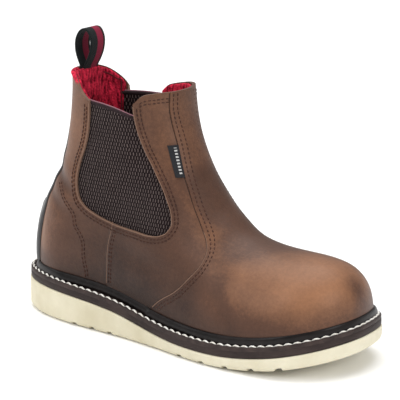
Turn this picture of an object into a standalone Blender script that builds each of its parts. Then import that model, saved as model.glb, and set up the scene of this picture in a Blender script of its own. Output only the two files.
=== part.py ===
"""Wedge sole work boot, right foot: a pull-on boot with elastic sides.

Metres. +X points to the toe, +Z up and the outer side is -Y. The origin is on the floor, under
the middle of the sole. The upper is worked out as one surface: a foot with arched sections along
X, blended with a leg with oval sections along Z. Rings of points run round that surface, from the
feather line, where it meets the sole, up to the collar.
"""

import math

import bmesh
import bpy
import numpy as np

# Sole
SOLE_LENGTH = 0.306
BALL_WIDTH = 0.116
HEEL_THICK = 0.024
ARCH_THICK = 0.0195
FOREFOOT_THICK = 0.009
TOE_THICK = 0.0115
TOE_SPRING = 0.0165
SPRING_START = 0.64
EDGE_ROUND = 0.0042
MIDSOLE_THICK = 0.0052
MIDSOLE_INSET = 0.0006
GROOVE_DEPTH = 0.0026
GROOVE_WIDTH = 0.0056
HEEL_GROOVES = 3
HEEL_GROOVE_START = 0.0700
HEEL_GROOVE_PITCH = 0.0180
FOREFOOT_GROOVES = 5
FOREFOOT_GROOVE_START = 0.1790
FOREFOOT_GROOVE_PITCH = 0.0215

# Welt and insole
WELT_THICK = 0.0030
WELT_INSET = 0.0010
RIB_HEIGHT = 0.0066
RIB_THICK = 0.0030
SEAM_GROOVE_INSET = 0.0042
SEAM_GROOVE_WIDTH = 0.0016
SEAM_GROOVE_DEPTH = 0.0009
INSOLE_THICK = 0.0040

# Upper
UPPER_LENGTH = 0.9428 * SOLE_LENGTH
UPPER_SETBACK = 0.0115
UPPER_BALL_WIDTH = 0.888 * BALL_WIDTH
INSTEP_HEIGHT = 0.0860
SHAFT_HEIGHT = 0.1650
COLLAR_LENGTH = 0.1010
COLLAR_WIDTH = 0.0770
LEATHER = 0.0022
VAMP_STEP = 0.0012
GORE_THICK = 0.0016
GORE_LAP = 0.0065
CLEAR = 0.0003

# Trim
STAY_THICK = 0.0014
STAY_KICK = 0.0030
STAY_WIDTH = 0.0420
LOOP_WIDTH = 0.0170
LOOP_HEIGHT = 0.0300
LOOP_DEPTH = 0.0150
LOOP_TAIL = 0.0180
WEBBING = 0.0018
TAG_LENGTH = 0.0230
TAG_WIDTH = 0.0052
TAG_THICK = 0.0008
TAG_FOOT = 0.586
TAG_SETBACK = 0.0012

# Plan of the sole: shares of its length from the heel, then half widths as shares of the ball width
SOLE_PLAN = (
    # along, outer, inner
    (0.000, 0.000, 0.000),
    (0.020, 0.148, 0.150),
    (0.060, 0.242, 0.245),
    (0.120, 0.313, 0.315),
    (0.200, 0.357, 0.350),
    (0.300, 0.373, 0.345),
    (0.400, 0.392, 0.350),
    (0.500, 0.428, 0.384),
    (0.600, 0.475, 0.438),
    (0.700, 0.500, 0.484),
    (0.780, 0.492, 0.500),
    (0.860, 0.453, 0.493),
    (0.920, 0.369, 0.441),
    (0.960, 0.270, 0.361),
    (0.985, 0.165, 0.251),
    (1.000, 0.000, 0.000),
)

# Foot of the upper: shares of its length from the heel, half widths as shares of its ball width,
# and the height of its ridge over the feather line as a share of the instep height
FOOT = (
    # along, outer, inner, ridge
    (0.000, 0.000, 0.000, 0.60),
    (0.025, 0.155, 0.155, 0.66),
    (0.070, 0.245, 0.245, 0.75),
    (0.150, 0.305, 0.305, 0.92),
    (0.300, 0.340, 0.325, 1.05),
    (0.450, 0.385, 0.345, 1.10),
    (0.550, 0.435, 0.395, 0.975),
    (0.650, 0.485, 0.455, 0.82),
    (0.740, 0.505, 0.495, 0.735),
    (0.820, 0.490, 0.505, 0.675),
    (0.880, 0.448, 0.485, 0.64),
    (0.930, 0.365, 0.430, 0.62),
    (0.970, 0.250, 0.320, 0.60),
    (0.990, 0.145, 0.200, 0.60),
    (1.000, 0.000, 0.000, 0.60),
)
TOE_CAP_START = 0.80
TOE_CAP_POWER = 2.8
FEATHER_TUCK = 0.05
SIDE_POWER = 2.3
CROWN_POWER = 2.2

# Leg of the upper: shares of the shaft height, then back, widest place and front as shares of the
# upper's length from its back end, and half width as a share of the collar width
LEG = (
    # up, back, widest, front, half width
    (0.000, 0.000, 0.153, 0.470, 0.430),
    (0.090, 0.003, 0.148, 0.485, 0.450),
    (0.200, 0.012, 0.158, 0.500, 0.455),
    (0.365, 0.036, 0.193, 0.534, 0.445),
    (0.545, 0.087, 0.246, 0.541, 0.450),
    (0.725, 0.117, 0.276, 0.503, 0.475),
    (0.910, 0.130, 0.296, 0.476, 0.500),
    (1.050, 0.131, 0.296, 0.465, 0.505),
)
LEG_POWER = 2.15
HEEL_BLEND = 0.004
INSTEP_BLEND = 0.022

# Edge of the collar seen from the side: shares of the collar length from its back, and how far
# below the shaft height the edge lies on each side, as a share of it
COLLAR_EDGE = (
    # along, outer, inner
    (0.00, 0.000, 0.000),
    (0.08, 0.000, -0.026),
    (0.12, 0.000, -0.048),
    (0.19, -0.026, -0.096),
    (0.25, -0.062, -0.158),
    (0.36, -0.105, -0.170),
    (0.43, -0.120, -0.165),
    (0.50, -0.135, -0.122),
    (0.54, -0.138, -0.099),
    (0.62, -0.138, -0.080),
    (0.68, -0.135, -0.072),
    (0.75, -0.095, -0.062),
    (0.80, -0.064, -0.057),
    (0.88, -0.052, -0.052),
    (1.00, -0.052, -0.052),
    (1.30, -0.020, -0.020),
)
SHEET_KNEE = 1.10
SHEET_SOFT = 0.10

# Cut-out for the elastic seen from the side, from its top back corner down and round to its top
# front corner: shares of the collar length from its back, and of the shaft height over the heel
GORE_EDGE = (
    # along, up
    (0.358, 1.060),
    (0.356, 0.827),
    (0.327, 0.730),
    (0.286, 0.661),
    (0.242, 0.607),
    (0.208, 0.541),
    (0.202, 0.480),
    (0.225, 0.427),
    (0.279, 0.391),
    (0.358, 0.367),
    (0.448, 0.347),
    (0.566, 0.332),
    (0.769, 0.322),
    (0.893, 0.317),
    (0.992, 0.326),
    (1.056, 0.348),
    (1.085, 0.382),
    (1.076, 0.415),
    (1.011, 0.504),
    (0.910, 0.608),
    (0.816, 0.715),
    (0.769, 0.809),
    (0.755, 0.858),
    (0.745, 1.060),
)

# The elastic's own panel: heights as shares of the shaft height, then its back and front edge in
# front of the collar's back, as shares of the collar length, where the cut-out stands over it
GORE_PANEL = (
    # up, back, front
    (0.25, 0.205, 1.080),
    (0.36, 0.200, 1.085),
    (0.48, 0.200, 1.030),
    (0.61, 0.242, 0.910),
    (0.73, 0.327, 0.805),
    (0.83, 0.356, 0.765),
    (0.95, 0.358, 0.750),
)
INNER_GORE_TOP = 0.861
GORE_TOP_BACK = 0.893
GORE_TOP_FRONT = 0.845
GORE_TOP_SAG = 0.010
GORE_BOTTOM_BACK = 0.375
GORE_BOTTOM_FRONT = 0.315

# The inner elastic leans back and narrows from one height up to another, as shares of the shaft
# height. The middle of its top and that of the outer one are shares of the collar length.
LEAN_START = 0.45
LEAN_END = 0.82
INNER_MIDDLE = 0.352
OUTER_MIDDLE = 0.555
INNER_NARROW = 0.74

# Back edge of the vamp seen from the side: shares of the shaft height over the heel, then in front
# of the collar's back as shares of the collar length
VAMP_EDGE = (
    # up, along
    (-0.060, 0.880),
    (-0.020, 0.937),
    (0.036, 1.038),
    (0.100, 1.192),
    (0.155, 1.281),
    (0.233, 1.380),
    (0.288, 1.394),
    (0.324, 1.370),
    (0.379, 1.309),
    (0.445, 1.235),
    (0.530, 1.154),
    (0.579, 1.110),
    (0.724, 1.017),
    (0.864, 0.954),
    (1.000, 0.940),
)

# Back stay from the welt up: shares of the shaft height, half width as a share of its width, and
# how much of the kick's bulge it has
STAY = (
    # up, half width, kick
    (0.000, 0.56, 0.30),
    (0.090, 0.56, 0.75),
    (0.160, 0.55, 1.00),
    (0.240, 0.52, 0.95),
    (0.330, 0.48, 0.45),
    (0.400, 0.45, 0.10),
    (0.500, 0.42, 0.00),
    (0.700, 0.38, 0.00),
    (0.850, 0.36, 0.00),
    (0.975, 0.35, 0.00),
)

# Pull loop seen from the side: shares of its depth towards the toe, and of its height over the
# collar, from the back strand's foot over the top to the front strand's foot
LOOP_PATH = (
    # forward, up
    (-0.08, 0.02),
    (-0.24, 0.18),
    (-0.40, 0.42),
    (-0.40, 0.66),
    (-0.20, 0.88),
    (0.10, 0.98),
    (0.42, 0.92),
    (0.58, 0.72),
    (0.54, 0.48),
    (0.36, 0.24),
    (0.10, 0.02),
)

# How finely the surfaces are cut up. EDGE_TURN is the turn between the two columns at a vamp edge.
STATIONS = 43
DENSE = np.linspace(0, 2 * math.pi, 360, endpoint=False)
VAMP_COLUMNS = 28
QUARTER_COLUMNS = 36
EDGE_TURN = 0.004
GORE_ROWS = 13
GORE_COLUMNS = 15
GORE_CUT_POINTS = 46
STAY_COLUMNS = 13
LOOP_POINTS = 26
UPPER_LEVELS = (
    *(0.0, 0.03, 0.07, 0.11, 0.15, 0.19, 0.23, 0.28, 0.34),
    *(0.41, 0.49, 0.58, 0.67, 0.76, 0.85, 0.93, 1.0),
)

HEEL_X = -SOLE_LENGTH / 2 + UPPER_SETBACK
COLLAR_BACK = HEEL_X + 0.1258 * UPPER_LENGTH
COLLAR_MIDDLE = COLLAR_BACK + COLLAR_LENGTH / 2
HEEL_FEATHER = HEEL_THICK + CLEAR + MIDSOLE_THICK


def hermite(at, stations, values):
    """A smooth curve through stations and values, with slopes from the neighbours."""
    at = np.clip(at, stations[0], stations[-1])
    slopes = np.gradient(values, stations)
    k = np.clip(np.searchsorted(stations, at, side="right") - 1, 0, len(stations) - 2)
    width = stations[k + 1] - stations[k]
    t = (at - stations[k]) / width
    low = values[k] * (1 + 2 * t) * (1 - t) ** 2 + width * slopes[k] * t * (1 - t) ** 2
    high = values[k + 1] * t * t * (3 - 2 * t) + width * slopes[k + 1] * t * t * (t - 1)
    return low + high


def column(at, table, index):
    rows = np.array(table)
    return hermite(at, rows[:, 0], rows[:, index])


def half_width(at, table, index):
    """A column of half widths. Its squares are what is smooth, so that the ends come out round."""
    rows = np.array(table)
    return np.sqrt(np.maximum(hermite(at, rows[:, 0], rows[:, index] ** 2), 0.0))


def path(table, count):
    """Evenly numbered points on a smooth line through a table's rows."""
    rows = np.array(table)
    steps = np.linalg.norm(np.diff(rows, axis=0), axis=1)
    along = np.concatenate([[0.0], np.cumsum(steps)])
    at = np.linspace(0.0, along[-1], count)
    return np.stack([hermite(at, along, rows[:, 0]), hermite(at, along, rows[:, 1])], axis=1)


def ramp(value, low, high):
    t = np.clip((value - low) / (high - low), 0.0, 1.0)
    return t * t * (3 - 2 * t)


def sole_bottom(x):
    """Height of the ground side of the sole: flat up to the ball, then the toe spring."""
    along = x / SOLE_LENGTH + 0.5
    return TOE_SPRING * np.clip((along - SPRING_START) / (1 - SPRING_START), 0.0, 1.05) ** 2


def sole_top(x):
    """Height of the top of the wedge: thick heel, filled arch, thin forefoot."""
    thick = column(x / SOLE_LENGTH + 0.5, (
        (-0.05, HEEL_THICK),
        (0.08, HEEL_THICK),
        (0.34, ARCH_THICK),
        (0.53, FOREFOOT_THICK * 1.08),
        (0.70, FOREFOOT_THICK),
        (0.86, (FOREFOOT_THICK + TOE_THICK) / 2),
        (1.05, TOE_THICK),
    ), 1)
    return sole_bottom(x) + thick


def feather(x):
    """Height of the midsole's top, where the upper, the welt and the insole stand."""
    return sole_top(x) + CLEAR + MIDSOLE_THICK


def foot_distance(x, y, z):
    """About how far a point lies outside the foot of the upper."""
    along = (x - HEEL_X) / UPPER_LENGTH
    inside = np.clip(along, 0.0, 1.0)
    share = np.where(y < 0, half_width(inside, FOOT, 1), half_width(inside, FOOT, 2))
    cap = np.clip((along - TOE_CAP_START) / (1 - TOE_CAP_START), 0.0, 1.0)
    ridge = column(inside, FOOT, 3) * INSTEP_HEIGHT * (1 - cap ** TOE_CAP_POWER) ** (1 / TOE_CAP_POWER)
    up = (z - feather(x)) / np.maximum(ridge, 1e-4)
    tuck = 1 - FEATHER_TUCK * np.clip(1 - up / 0.22, 0.0, 1.5) ** 2
    across = np.abs(y) / (np.maximum(share * UPPER_BALL_WIDTH, 1e-5) * tuck)
    rho = (across ** SIDE_POWER + np.clip(up, 0.0, None) ** CROWN_POWER) ** (1 / SIDE_POWER)
    beyond = np.abs(along - 0.5) - 0.5
    return (np.maximum(rho, 1 + 20 * beyond) - 1) * UPPER_BALL_WIDTH * 0.3


def leg_distance(x, y, z):
    """About how far a point lies outside the leg of the upper."""
    up = (z - feather(x)) / SHAFT_HEIGHT
    back = HEEL_X + column(up, LEG, 1) * UPPER_LENGTH
    widest = HEEL_X + column(up, LEG, 2) * UPPER_LENGTH
    front = HEEL_X + column(up, LEG, 3) * UPPER_LENGTH
    wide = column(up, LEG, 4) * COLLAR_WIDTH
    reach = np.where(x < widest, widest - back, front - widest)
    rho = ((np.abs(x - widest) / reach) ** LEG_POWER + (np.abs(y) / wide) ** LEG_POWER) ** (1 / LEG_POWER)
    return (rho - 1) * COLLAR_WIDTH * 0.4


def upper_distance(x, y, z):
    """The smooth union of foot and leg: a wide blend at the instep and a small one at the heel."""
    foot, leg = foot_distance(x, y, z), leg_distance(x, y, z)
    share = ramp(x, HEEL_X + 0.25 * UPPER_LENGTH, HEEL_X + 0.5 * UPPER_LENGTH)
    blend = HEEL_BLEND + (INSTEP_BLEND - HEEL_BLEND) * share
    mix = np.clip(0.5 + (leg - foot) / (2 * blend), 0.0, 1.0)
    return leg * (1 - mix) + foot * mix - blend * mix * (1 - mix)


def collar_height(x, y):
    """Height of the collar's edge over the floor. In front of the collar the same sheet runs on up."""
    along = (x - COLLAR_BACK) / COLLAR_LENGTH
    past = along - SHEET_KNEE
    rise = (past + np.sqrt(past ** 2 + SHEET_SOFT ** 2)) / 2 * COLLAR_LENGTH
    inner = ramp(y, 0.0, COLLAR_WIDTH / 4)
    edge = column(along, COLLAR_EDGE, 1) * (1 - inner) + column(along, COLLAR_EDGE, 2) * inner
    return HEEL_FEATHER + SHAFT_HEIGHT * (1 + edge) + rise


def ring(level, theta):
    """Points on the upper's outer surface at one level, 0 at the feather line and 1 at the collar.

    Theta is 0 at the back, 90 degrees on the outer side and 180 at the toe.
    """
    middle = COLLAR_MIDDLE * (1 - (1 - level) ** 4)
    reach_x = COLLAR_LENGTH / 2 + (UPPER_LENGTH - COLLAR_LENGTH) / 2 * (1 - level) ** 2
    reach_y = UPPER_BALL_WIDTH / 2 + (COLLAR_WIDTH - UPPER_BALL_WIDTH) / 2 * level
    low, high = np.full(len(theta), 0.2), np.full(len(theta), 1.9)
    for _ in range(30):
        radius = (low + high) / 2
        x = middle - radius * reach_x * np.cos(theta)
        y = -radius * reach_y * np.sin(theta)
        z = feather(x) * (1 - level) + collar_height(x, y) * level
        outside = upper_distance(x, y, z) > 0
        high = np.where(outside, radius, high)
        low = np.where(outside, low, radius)
    return np.stack([x, y, z], axis=1)


def normals_at(points):
    """Outward directions of the upper's surface at points on it."""
    step = 2e-4
    x, y, z = points[..., 0], points[..., 1], points[..., 2]
    slope = np.stack([
        upper_distance(x + step, y, z) - upper_distance(x - step, y, z),
        upper_distance(x, y + step, z) - upper_distance(x, y - step, z),
        upper_distance(x, y, z + step) - upper_distance(x, y, z - step),
    ], axis=-1)
    return slope / np.linalg.norm(slope, axis=-1, keepdims=True)


def side_point(x, z, side):
    """The point of the upper's surface seen from the side at x and z. Side is -1 for the outer one."""
    low, high = np.zeros_like(x), np.full_like(x, UPPER_BALL_WIDTH)
    for _ in range(30):
        y = (low + high) / 2
        outside = upper_distance(x, side * y, z) > 0
        high = np.where(outside, y, high)
        low = np.where(outside, low, y)
    return np.stack([x, side * y, z], axis=-1)


def back_point(y, z):
    """The point of the upper's surface seen from behind at y and z."""
    low, high = np.full_like(y, HEEL_X - UPPER_SETBACK), np.full_like(y, COLLAR_MIDDLE)
    for _ in range(30):
        x = (low + high) / 2
        outside = upper_distance(x, y, z) > 0
        low = np.where(outside, x, low)
        high = np.where(outside, high, x)
    return np.stack([x, y, z], axis=-1)


def vamp_theta(level, side):
    """Theta where a ring at this level crosses the back edge of the vamp."""
    theta = np.linspace(math.radians(30), math.radians(179), 300)
    points = ring(level, theta if side < 0 else 2 * math.pi - theta)
    up = (points[:, 2] - HEEL_FEATHER) / SHAFT_HEIGHT
    ahead = points[:, 0] - COLLAR_BACK - column(up, VAMP_EDGE, 1) * COLLAR_LENGTH
    first = int(np.argmax(ahead > 0))
    share = ahead[first - 1] / (ahead[first - 1] - ahead[first])
    found = theta[first - 1] + share * (theta[first] - theta[first - 1])
    return found if side < 0 else 2 * math.pi - found


def columns(level):
    """Theta of the upper's columns at a level, a pair of them at each edge of the vamp."""
    outer_edge, inner_edge = vamp_theta(level, -1), vamp_theta(level, 1)
    vamp = np.linspace(outer_edge, inner_edge, VAMP_COLUMNS)
    quarter = np.linspace(inner_edge + EDGE_TURN, outer_edge + 2 * math.pi - EDGE_TURN, QUARTER_COLUMNS)
    return np.concatenate([vamp, quarter])


def upper_walls():
    """The leather's outer and inner face: a row of points a level, raised where the vamp laps over."""
    step = np.concatenate([np.full(VAMP_COLUMNS, VAMP_STEP), np.zeros(QUARTER_COLUMNS)])
    outer, inner = [], []
    for level in UPPER_LEVELS:
        surface = ring(level, columns(level))
        normal = normals_at(surface)
        outer.append(surface + normal * step[:, None])
        inner.append(surface - normal * LEATHER)
    walls = np.array([outer, inner])
    walls[:, 0, :, 2] = feather(walls[:, 0, :, 0])
    walls[..., 2] += CLEAR
    return walls


def along_wall(wall, height, out):
    """A loop on a wall's own faces, a height over the feather line, then set out in plan."""
    heights = wall[:4, :, 2] - feather(wall[:4, :, 0])
    height = np.broadcast_to(height, heights.shape[1])
    loop = np.array([
        [np.interp(height[j], heights[:, j], wall[:4, j, axis]) for axis in (0, 1)]
        for j in range(wall.shape[1])
    ])
    loop = set_out(loop, out)
    return np.column_stack([loop, feather(loop[:, 0]) + height])


def set_out(loop, distance):
    """A closed loop of plan points moved outwards in plan, across its own run."""
    tangent = np.roll(loop, -1, axis=0) - np.roll(loop, 1, axis=0)
    outward = np.stack([tangent[:, 1], -tangent[:, 0]], axis=1)
    outward *= np.sign((outward * (loop[:, :2] - loop[:, :2].mean(axis=0))).sum(axis=1, keepdims=True))
    moved = loop.copy()
    moved[:, :2] += outward / np.linalg.norm(outward, axis=1, keepdims=True) * distance
    return moved


def sole_loop(inset, theta):
    """The sole's outline in plan, a distance inside its edge, with theta as in ring."""
    low, high = np.full(len(theta), 0.2), np.full(len(theta), 1.6)
    for _ in range(30):
        radius = (low + high) / 2
        x = -radius * SOLE_LENGTH / 2 * np.cos(theta)
        y = -radius * BALL_WIDTH / 2 * np.sin(theta)
        along = x / SOLE_LENGTH + 0.5
        share = np.where(y < 0, half_width(along, SOLE_PLAN, 1), half_width(along, SOLE_PLAN, 2))
        outside = (np.abs(y) > share * BALL_WIDTH) | (along < 0) | (along > 1)
        high = np.where(outside, radius, high)
        low = np.where(outside, low, radius)
    return set_out(np.stack([x, y], axis=1), -inset)


def at_stations(loop):
    """A loop's plan at stations along X: the outer side from heel to toe, then the inner side back.

    All pieces of the sole have their stations so, and their faces follow each other.
    """
    loop = np.roll(loop, -int(np.argmin(loop[:, 0])), axis=0)
    toe = int(np.argmax(loop[:, 0]))
    outer, inner = loop[:toe + 1], np.concatenate([loop[toe:], loop[:1]])[::-1]
    middle, reach = (loop[0, 0] + loop[toe, 0]) / 2, (loop[toe, 0] - loop[0, 0]) / 2
    x = middle - reach * np.cos(np.linspace(0, math.pi, STATIONS))
    there = np.stack([x, np.interp(x, outer[:, 0], outer[:, 1])], axis=1)
    back = np.stack([x, np.interp(x, inner[:, 0], inner[:, 1])], axis=1)
    return np.concatenate([there, back[-2:0:-1]])


def on_height(plan, height, lift=0.0):
    return np.column_stack([plan[:, :2], height(plan[:, 0]) + lift])


def start_scene():
    for obj in list(bpy.data.objects):
        bpy.data.objects.remove(obj)
    collections = []
    for name in ("work_boot", "cutters"):
        collection = bpy.data.collections.new(name)
        bpy.context.scene.collection.children.link(collection)
        collections.append(collection)
    return collections


def material(name, colour, roughness):
    made = bpy.data.materials.new(name)
    made.use_nodes = True
    shader = made.node_tree.nodes["Principled BSDF"]
    shader.inputs["Base Color"].default_value = (*colour, 1.0)
    shader.inputs["Roughness"].default_value = roughness
    shader.inputs["Metallic"].default_value = 0.0
    return made


def mesh_object(name, points, faces, collection, finish=None):
    """An object from points and faces, with its faces turned outwards and shaded smooth."""
    mesh = bpy.data.meshes.new(name)
    mesh.from_pydata([tuple(map(float, p)) for p in points], [], faces)
    shape = bmesh.new()
    shape.from_mesh(mesh)
    bmesh.ops.recalc_face_normals(shape, faces=shape.faces)
    if shape.calc_volume(signed=True) < 0:
        bmesh.ops.reverse_faces(shape, faces=shape.faces)
    shape.to_mesh(mesh)
    shape.free()
    mesh.shade_smooth()
    mesh.set_sharp_from_angle(angle=math.radians(40))
    if finish:
        mesh.materials.append(finish)
    made = bpy.data.objects.new(name, mesh)
    collection.objects.link(made)
    return made


def loops_object(name, loops, collection, finish, closed=False):
    """A solid from loops of as many points each: closed on itself, or with its end loops filled.

    Its faces are triangles split the same way, so that pieces on the same columns lie parallel.
    """
    count = len(loops[0])
    points = [p for loop in loops for p in loop]
    rows = len(loops)
    faces = []
    for k in range(rows if closed else rows - 1):
        here, above = k * count, (k + 1) % rows * count
        for i in range(count):
            j = (i + 1) % count
            faces.append((here + i, here + j, above + j))
            faces.append((here + i, above + j, above + i))
    if not closed:
        faces += [tuple(range(count)), tuple(range((rows - 1) * count, rows * count))]
    return mesh_object(name, points, faces, collection, finish)


def slab_object(name, loops, collection, finish):
    """A solid from station loops, closed below and above by strips from side to side."""
    count = len(loops[0])
    faces = []
    for k in range(len(loops) - 1):
        for i in range(count):
            j = (i + 1) % count
            faces.append((k * count + i, k * count + j, (k + 1) * count + j, (k + 1) * count + i))
    for first in (0, (len(loops) - 1) * count):
        for i in range(STATIONS - 1):
            corners = (i, i + 1, count - i - 1, count - i)
            corners = tuple(dict.fromkeys(first + k % count for k in corners))
            faces.append(corners)
    return mesh_object(name, [p for loop in loops for p in loop], faces, collection, finish)


def sheet_object(name, outer, inner, collection, finish):
    """A solid between two grids of points with the same rows and columns, walled in all round."""
    rows, columns = outer.shape[:2]
    points = np.concatenate([outer.reshape(-1, 3), inner.reshape(-1, 3)])
    back = rows * columns
    faces = []
    for i in range(rows - 1):
        for j in range(columns - 1):
            a = i * columns + j
            quad = (a, a + 1, a + columns + 1, a + columns)
            faces.append(quad)
            faces.append(tuple(back + k for k in reversed(quad)))
    rim = list(range(columns))
    rim += [i * columns + columns - 1 for i in range(1, rows)]
    rim += [(rows - 1) * columns + j for j in range(columns - 2, -1, -1)]
    rim += [i * columns for i in range(rows - 2, 0, -1)]
    for k, here in enumerate(rim):
        after = rim[(k + 1) % len(rim)]
        faces.append((here, after, back + after, back + here))
    return mesh_object(name, points, faces, collection, finish)


def cut(target, cutter):
    cutter.hide_render = True
    cutter.display_type = "WIRE"
    modifier = target.modifiers.new(cutter.name, "BOOLEAN")
    modifier.operation = "DIFFERENCE"
    modifier.solver = "EXACT"
    modifier.object = cutter


def make_outsole(parts, cutters, finish):
    """The wedge: rounded bottom edge, upright side and tread grooves that run out at its edges."""
    loops = []
    for turn in (0.0, 30.0, 60.0, 90.0):
        angle = math.radians(turn)
        plan = at_stations(sole_loop(EDGE_ROUND * (1 - math.sin(angle)), DENSE))
        loops.append(on_height(plan, sole_bottom, EDGE_ROUND * (1 - math.cos(angle))))
    loops.append(on_height(at_stations(sole_loop(0.0, DENSE)), sole_top))
    outsole = slab_object("outsole", loops, parts, finish)
    grooves = [(HEEL_GROOVE_START, HEEL_GROOVE_PITCH, HEEL_GROOVES)]
    grooves.append((FOREFOOT_GROOVE_START, FOREFOOT_GROOVE_PITCH, FOREFOOT_GROOVES))
    for start, pitch, number in grooves:
        for k in range(number):
            x = start + k * pitch - SOLE_LENGTH / 2
            bpy.ops.mesh.primitive_cube_add(size=1)
            groove = bpy.context.object
            groove.name = f"groove_{round((x + SOLE_LENGTH / 2) * 1000)}"
            groove.scale = (GROOVE_WIDTH, BALL_WIDTH * 1.2, GROOVE_DEPTH * 2)
            ahead = sole_bottom(np.array([x - pitch / 4, x + pitch / 4]))
            groove.rotation_euler = (0, -math.atan2(ahead[1] - ahead[0], pitch / 2), 0)
            groove.location = (x, 0, float(sole_bottom(np.array([x]))[0]))
            for collection in list(groove.users_collection):
                collection.objects.unlink(groove)
            cutters.objects.link(groove)
            cut(outsole, groove)


def make_midsole(parts, finish):
    plan = at_stations(sole_loop(MIDSOLE_INSET, DENSE))
    loops = [on_height(plan, sole_top, CLEAR), on_height(plan, feather)]
    slab_object("midsole", loops, parts, finish)


def make_welt(parts, walls, finish):
    """The storm welt: a flat shelf with its seam groove, and the rib that stands against the upper."""
    def shelf(height, inset):
        return on_height(sole_loop(inset, columns(0.0)), feather, CLEAR + height)

    def against(height, out):
        return along_wall(walls[0], height, CLEAR + out)

    top = WELT_THICK + RIB_HEIGHT
    kink = np.minimum(walls[0, 1, :, 2] - feather(walls[0, 1, :, 0]), 0.9 * top)
    loops = [
        against(CLEAR, 0.0),
        against(kink, 0.0),
        against(top, 0.0),
        against(top, 0.30 * RIB_THICK),
        against(WELT_THICK + 0.75 * RIB_HEIGHT, 0.80 * RIB_THICK),
        against(WELT_THICK + 0.20 * RIB_HEIGHT, RIB_THICK),
        shelf(WELT_THICK - SEAM_GROOVE_DEPTH, SEAM_GROOVE_INSET),
        shelf(WELT_THICK, SEAM_GROOVE_INSET - SEAM_GROOVE_WIDTH / 2),
        shelf(WELT_THICK, WELT_INSET),
        shelf(0.0, WELT_INSET),
    ]
    loops_object("welt", loops, parts, finish, closed=True)


def make_insole(parts, walls, finish):
    inner = walls[1]
    low = at_stations(along_wall(inner, CLEAR, -2 * CLEAR))
    high = at_stations(along_wall(inner, CLEAR + INSOLE_THICK, -2 * CLEAR))
    loops = [on_height(low, feather, CLEAR), on_height(high, feather, CLEAR + INSOLE_THICK)]
    slab_object("insole", loops, parts, finish)


def lean(along, up, side):
    """The elastics' outline as it lies on one side: the inner one leans back towards its top."""
    share = ramp(up, LEAN_START, LEAN_END) * (side > 0)
    return along + share * (INNER_MIDDLE + (along - OUTER_MIDDLE) * INNER_NARROW - along)


def gore_prism(name, side, cutters):
    """A block with the cut-out's outline, from near the boot's middle out past one side."""
    line = path(GORE_EDGE, GORE_CUT_POINTS)
    x = COLLAR_BACK + lean(line[:, 0], line[:, 1], side) * COLLAR_LENGTH
    z = HEEL_FEATHER + line[:, 1] * SHAFT_HEIGHT
    loops = []
    for y in (side * COLLAR_WIDTH * 0.1, side * UPPER_BALL_WIDTH * 0.7):
        loops.append(np.stack([x, np.full_like(x, y), z], axis=1))
    count = len(x)
    points = np.concatenate(loops)
    faces = [tuple(range(count)), tuple(range(2 * count - 1, count - 1, -1))]
    for i in range(count):
        j = (i + 1) % count
        faces.append((i, j, count + j, count + i))
    return mesh_object(name, points, faces, cutters)


def make_upper(parts, cutters, walls, finish):
    """The leather: one hollow wall, open at the collar and underneath, thicker where the vamp laps
    over the quarters, and cut out on both sides for the elastics."""
    loops = [*walls[0], *walls[1][::-1]]
    upper = loops_object("upper", loops, parts, finish, closed=True)
    for name, side in (("gore_cut_outer", -1), ("gore_cut_inner", 1)):
        cut(upper, gore_prism(name, side, cutters))


def make_gore(name, side, parts, finish):
    """An elastic panel behind its cut-out: it laps behind the leather at both sides and below."""
    across, up = np.meshgrid(np.linspace(0, 1, GORE_COLUMNS), np.linspace(0, 1, GORE_ROWS))
    ends = (GORE_TOP_BACK, GORE_TOP_FRONT) if side < 0 else (INNER_GORE_TOP, INNER_GORE_TOP)
    top = ends[0] + (ends[1] - ends[0]) * across
    top -= GORE_TOP_SAG * 4 * across * (1 - across)
    bottom = GORE_BOTTOM_BACK + (GORE_BOTTOM_FRONT - GORE_BOTTOM_BACK) * ramp(across, 0.0, 0.7)
    high = HEEL_FEATHER + top * SHAFT_HEIGHT
    low = HEEL_FEATHER + bottom * SHAFT_HEIGHT - GORE_LAP
    z = low + (high - low) * up
    share = (z - HEEL_FEATHER) / SHAFT_HEIGHT
    back = COLLAR_BACK + lean(column(share, GORE_PANEL, 1), share, side) * COLLAR_LENGTH - GORE_LAP
    front = COLLAR_BACK + lean(column(share, GORE_PANEL, 2), share, side) * COLLAR_LENGTH + GORE_LAP
    points = side_point(back + (front - back) * across, z, side)
    normal = normals_at(points)
    outer = points - normal * (LEATHER + CLEAR * 1.5)
    inner = outer - normal * GORE_THICK
    sheet_object(name, outer, inner, parts, finish)


def make_back_stay(parts, finish):
    """The moulded strip up the back of the heel, thickest at the kick."""
    first = (WELT_THICK + RIB_HEIGHT + 3 * CLEAR) / SHAFT_HEIGHT
    last = STAY[-1][0]
    levels = np.array([first] + [v for v in UPPER_LEVELS if first + 0.01 < v < last - 0.01] + [last])
    z = HEEL_FEATHER + levels * SHAFT_HEIGHT
    half = column(levels, STAY, 1) * STAY_WIDTH
    kick = column(levels, STAY, 2) * STAY_KICK
    across = np.linspace(-1, 1, STAY_COLUMNS)
    y = across[None, :] * half[:, None]
    points = back_point(y, np.repeat(z[:, None], len(across), axis=1))
    normal = normals_at(points)
    points[..., 2] += CLEAR
    crown = 1 - across[None, :] ** 4
    thick = STAY_THICK * (0.55 + 0.45 * crown) + kick[:, None] * crown
    inner = points + normal * CLEAR * 1.5
    outer = inner + normal * thick[..., None]
    sheet_object("back_stay", outer, inner, parts, finish)


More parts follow.
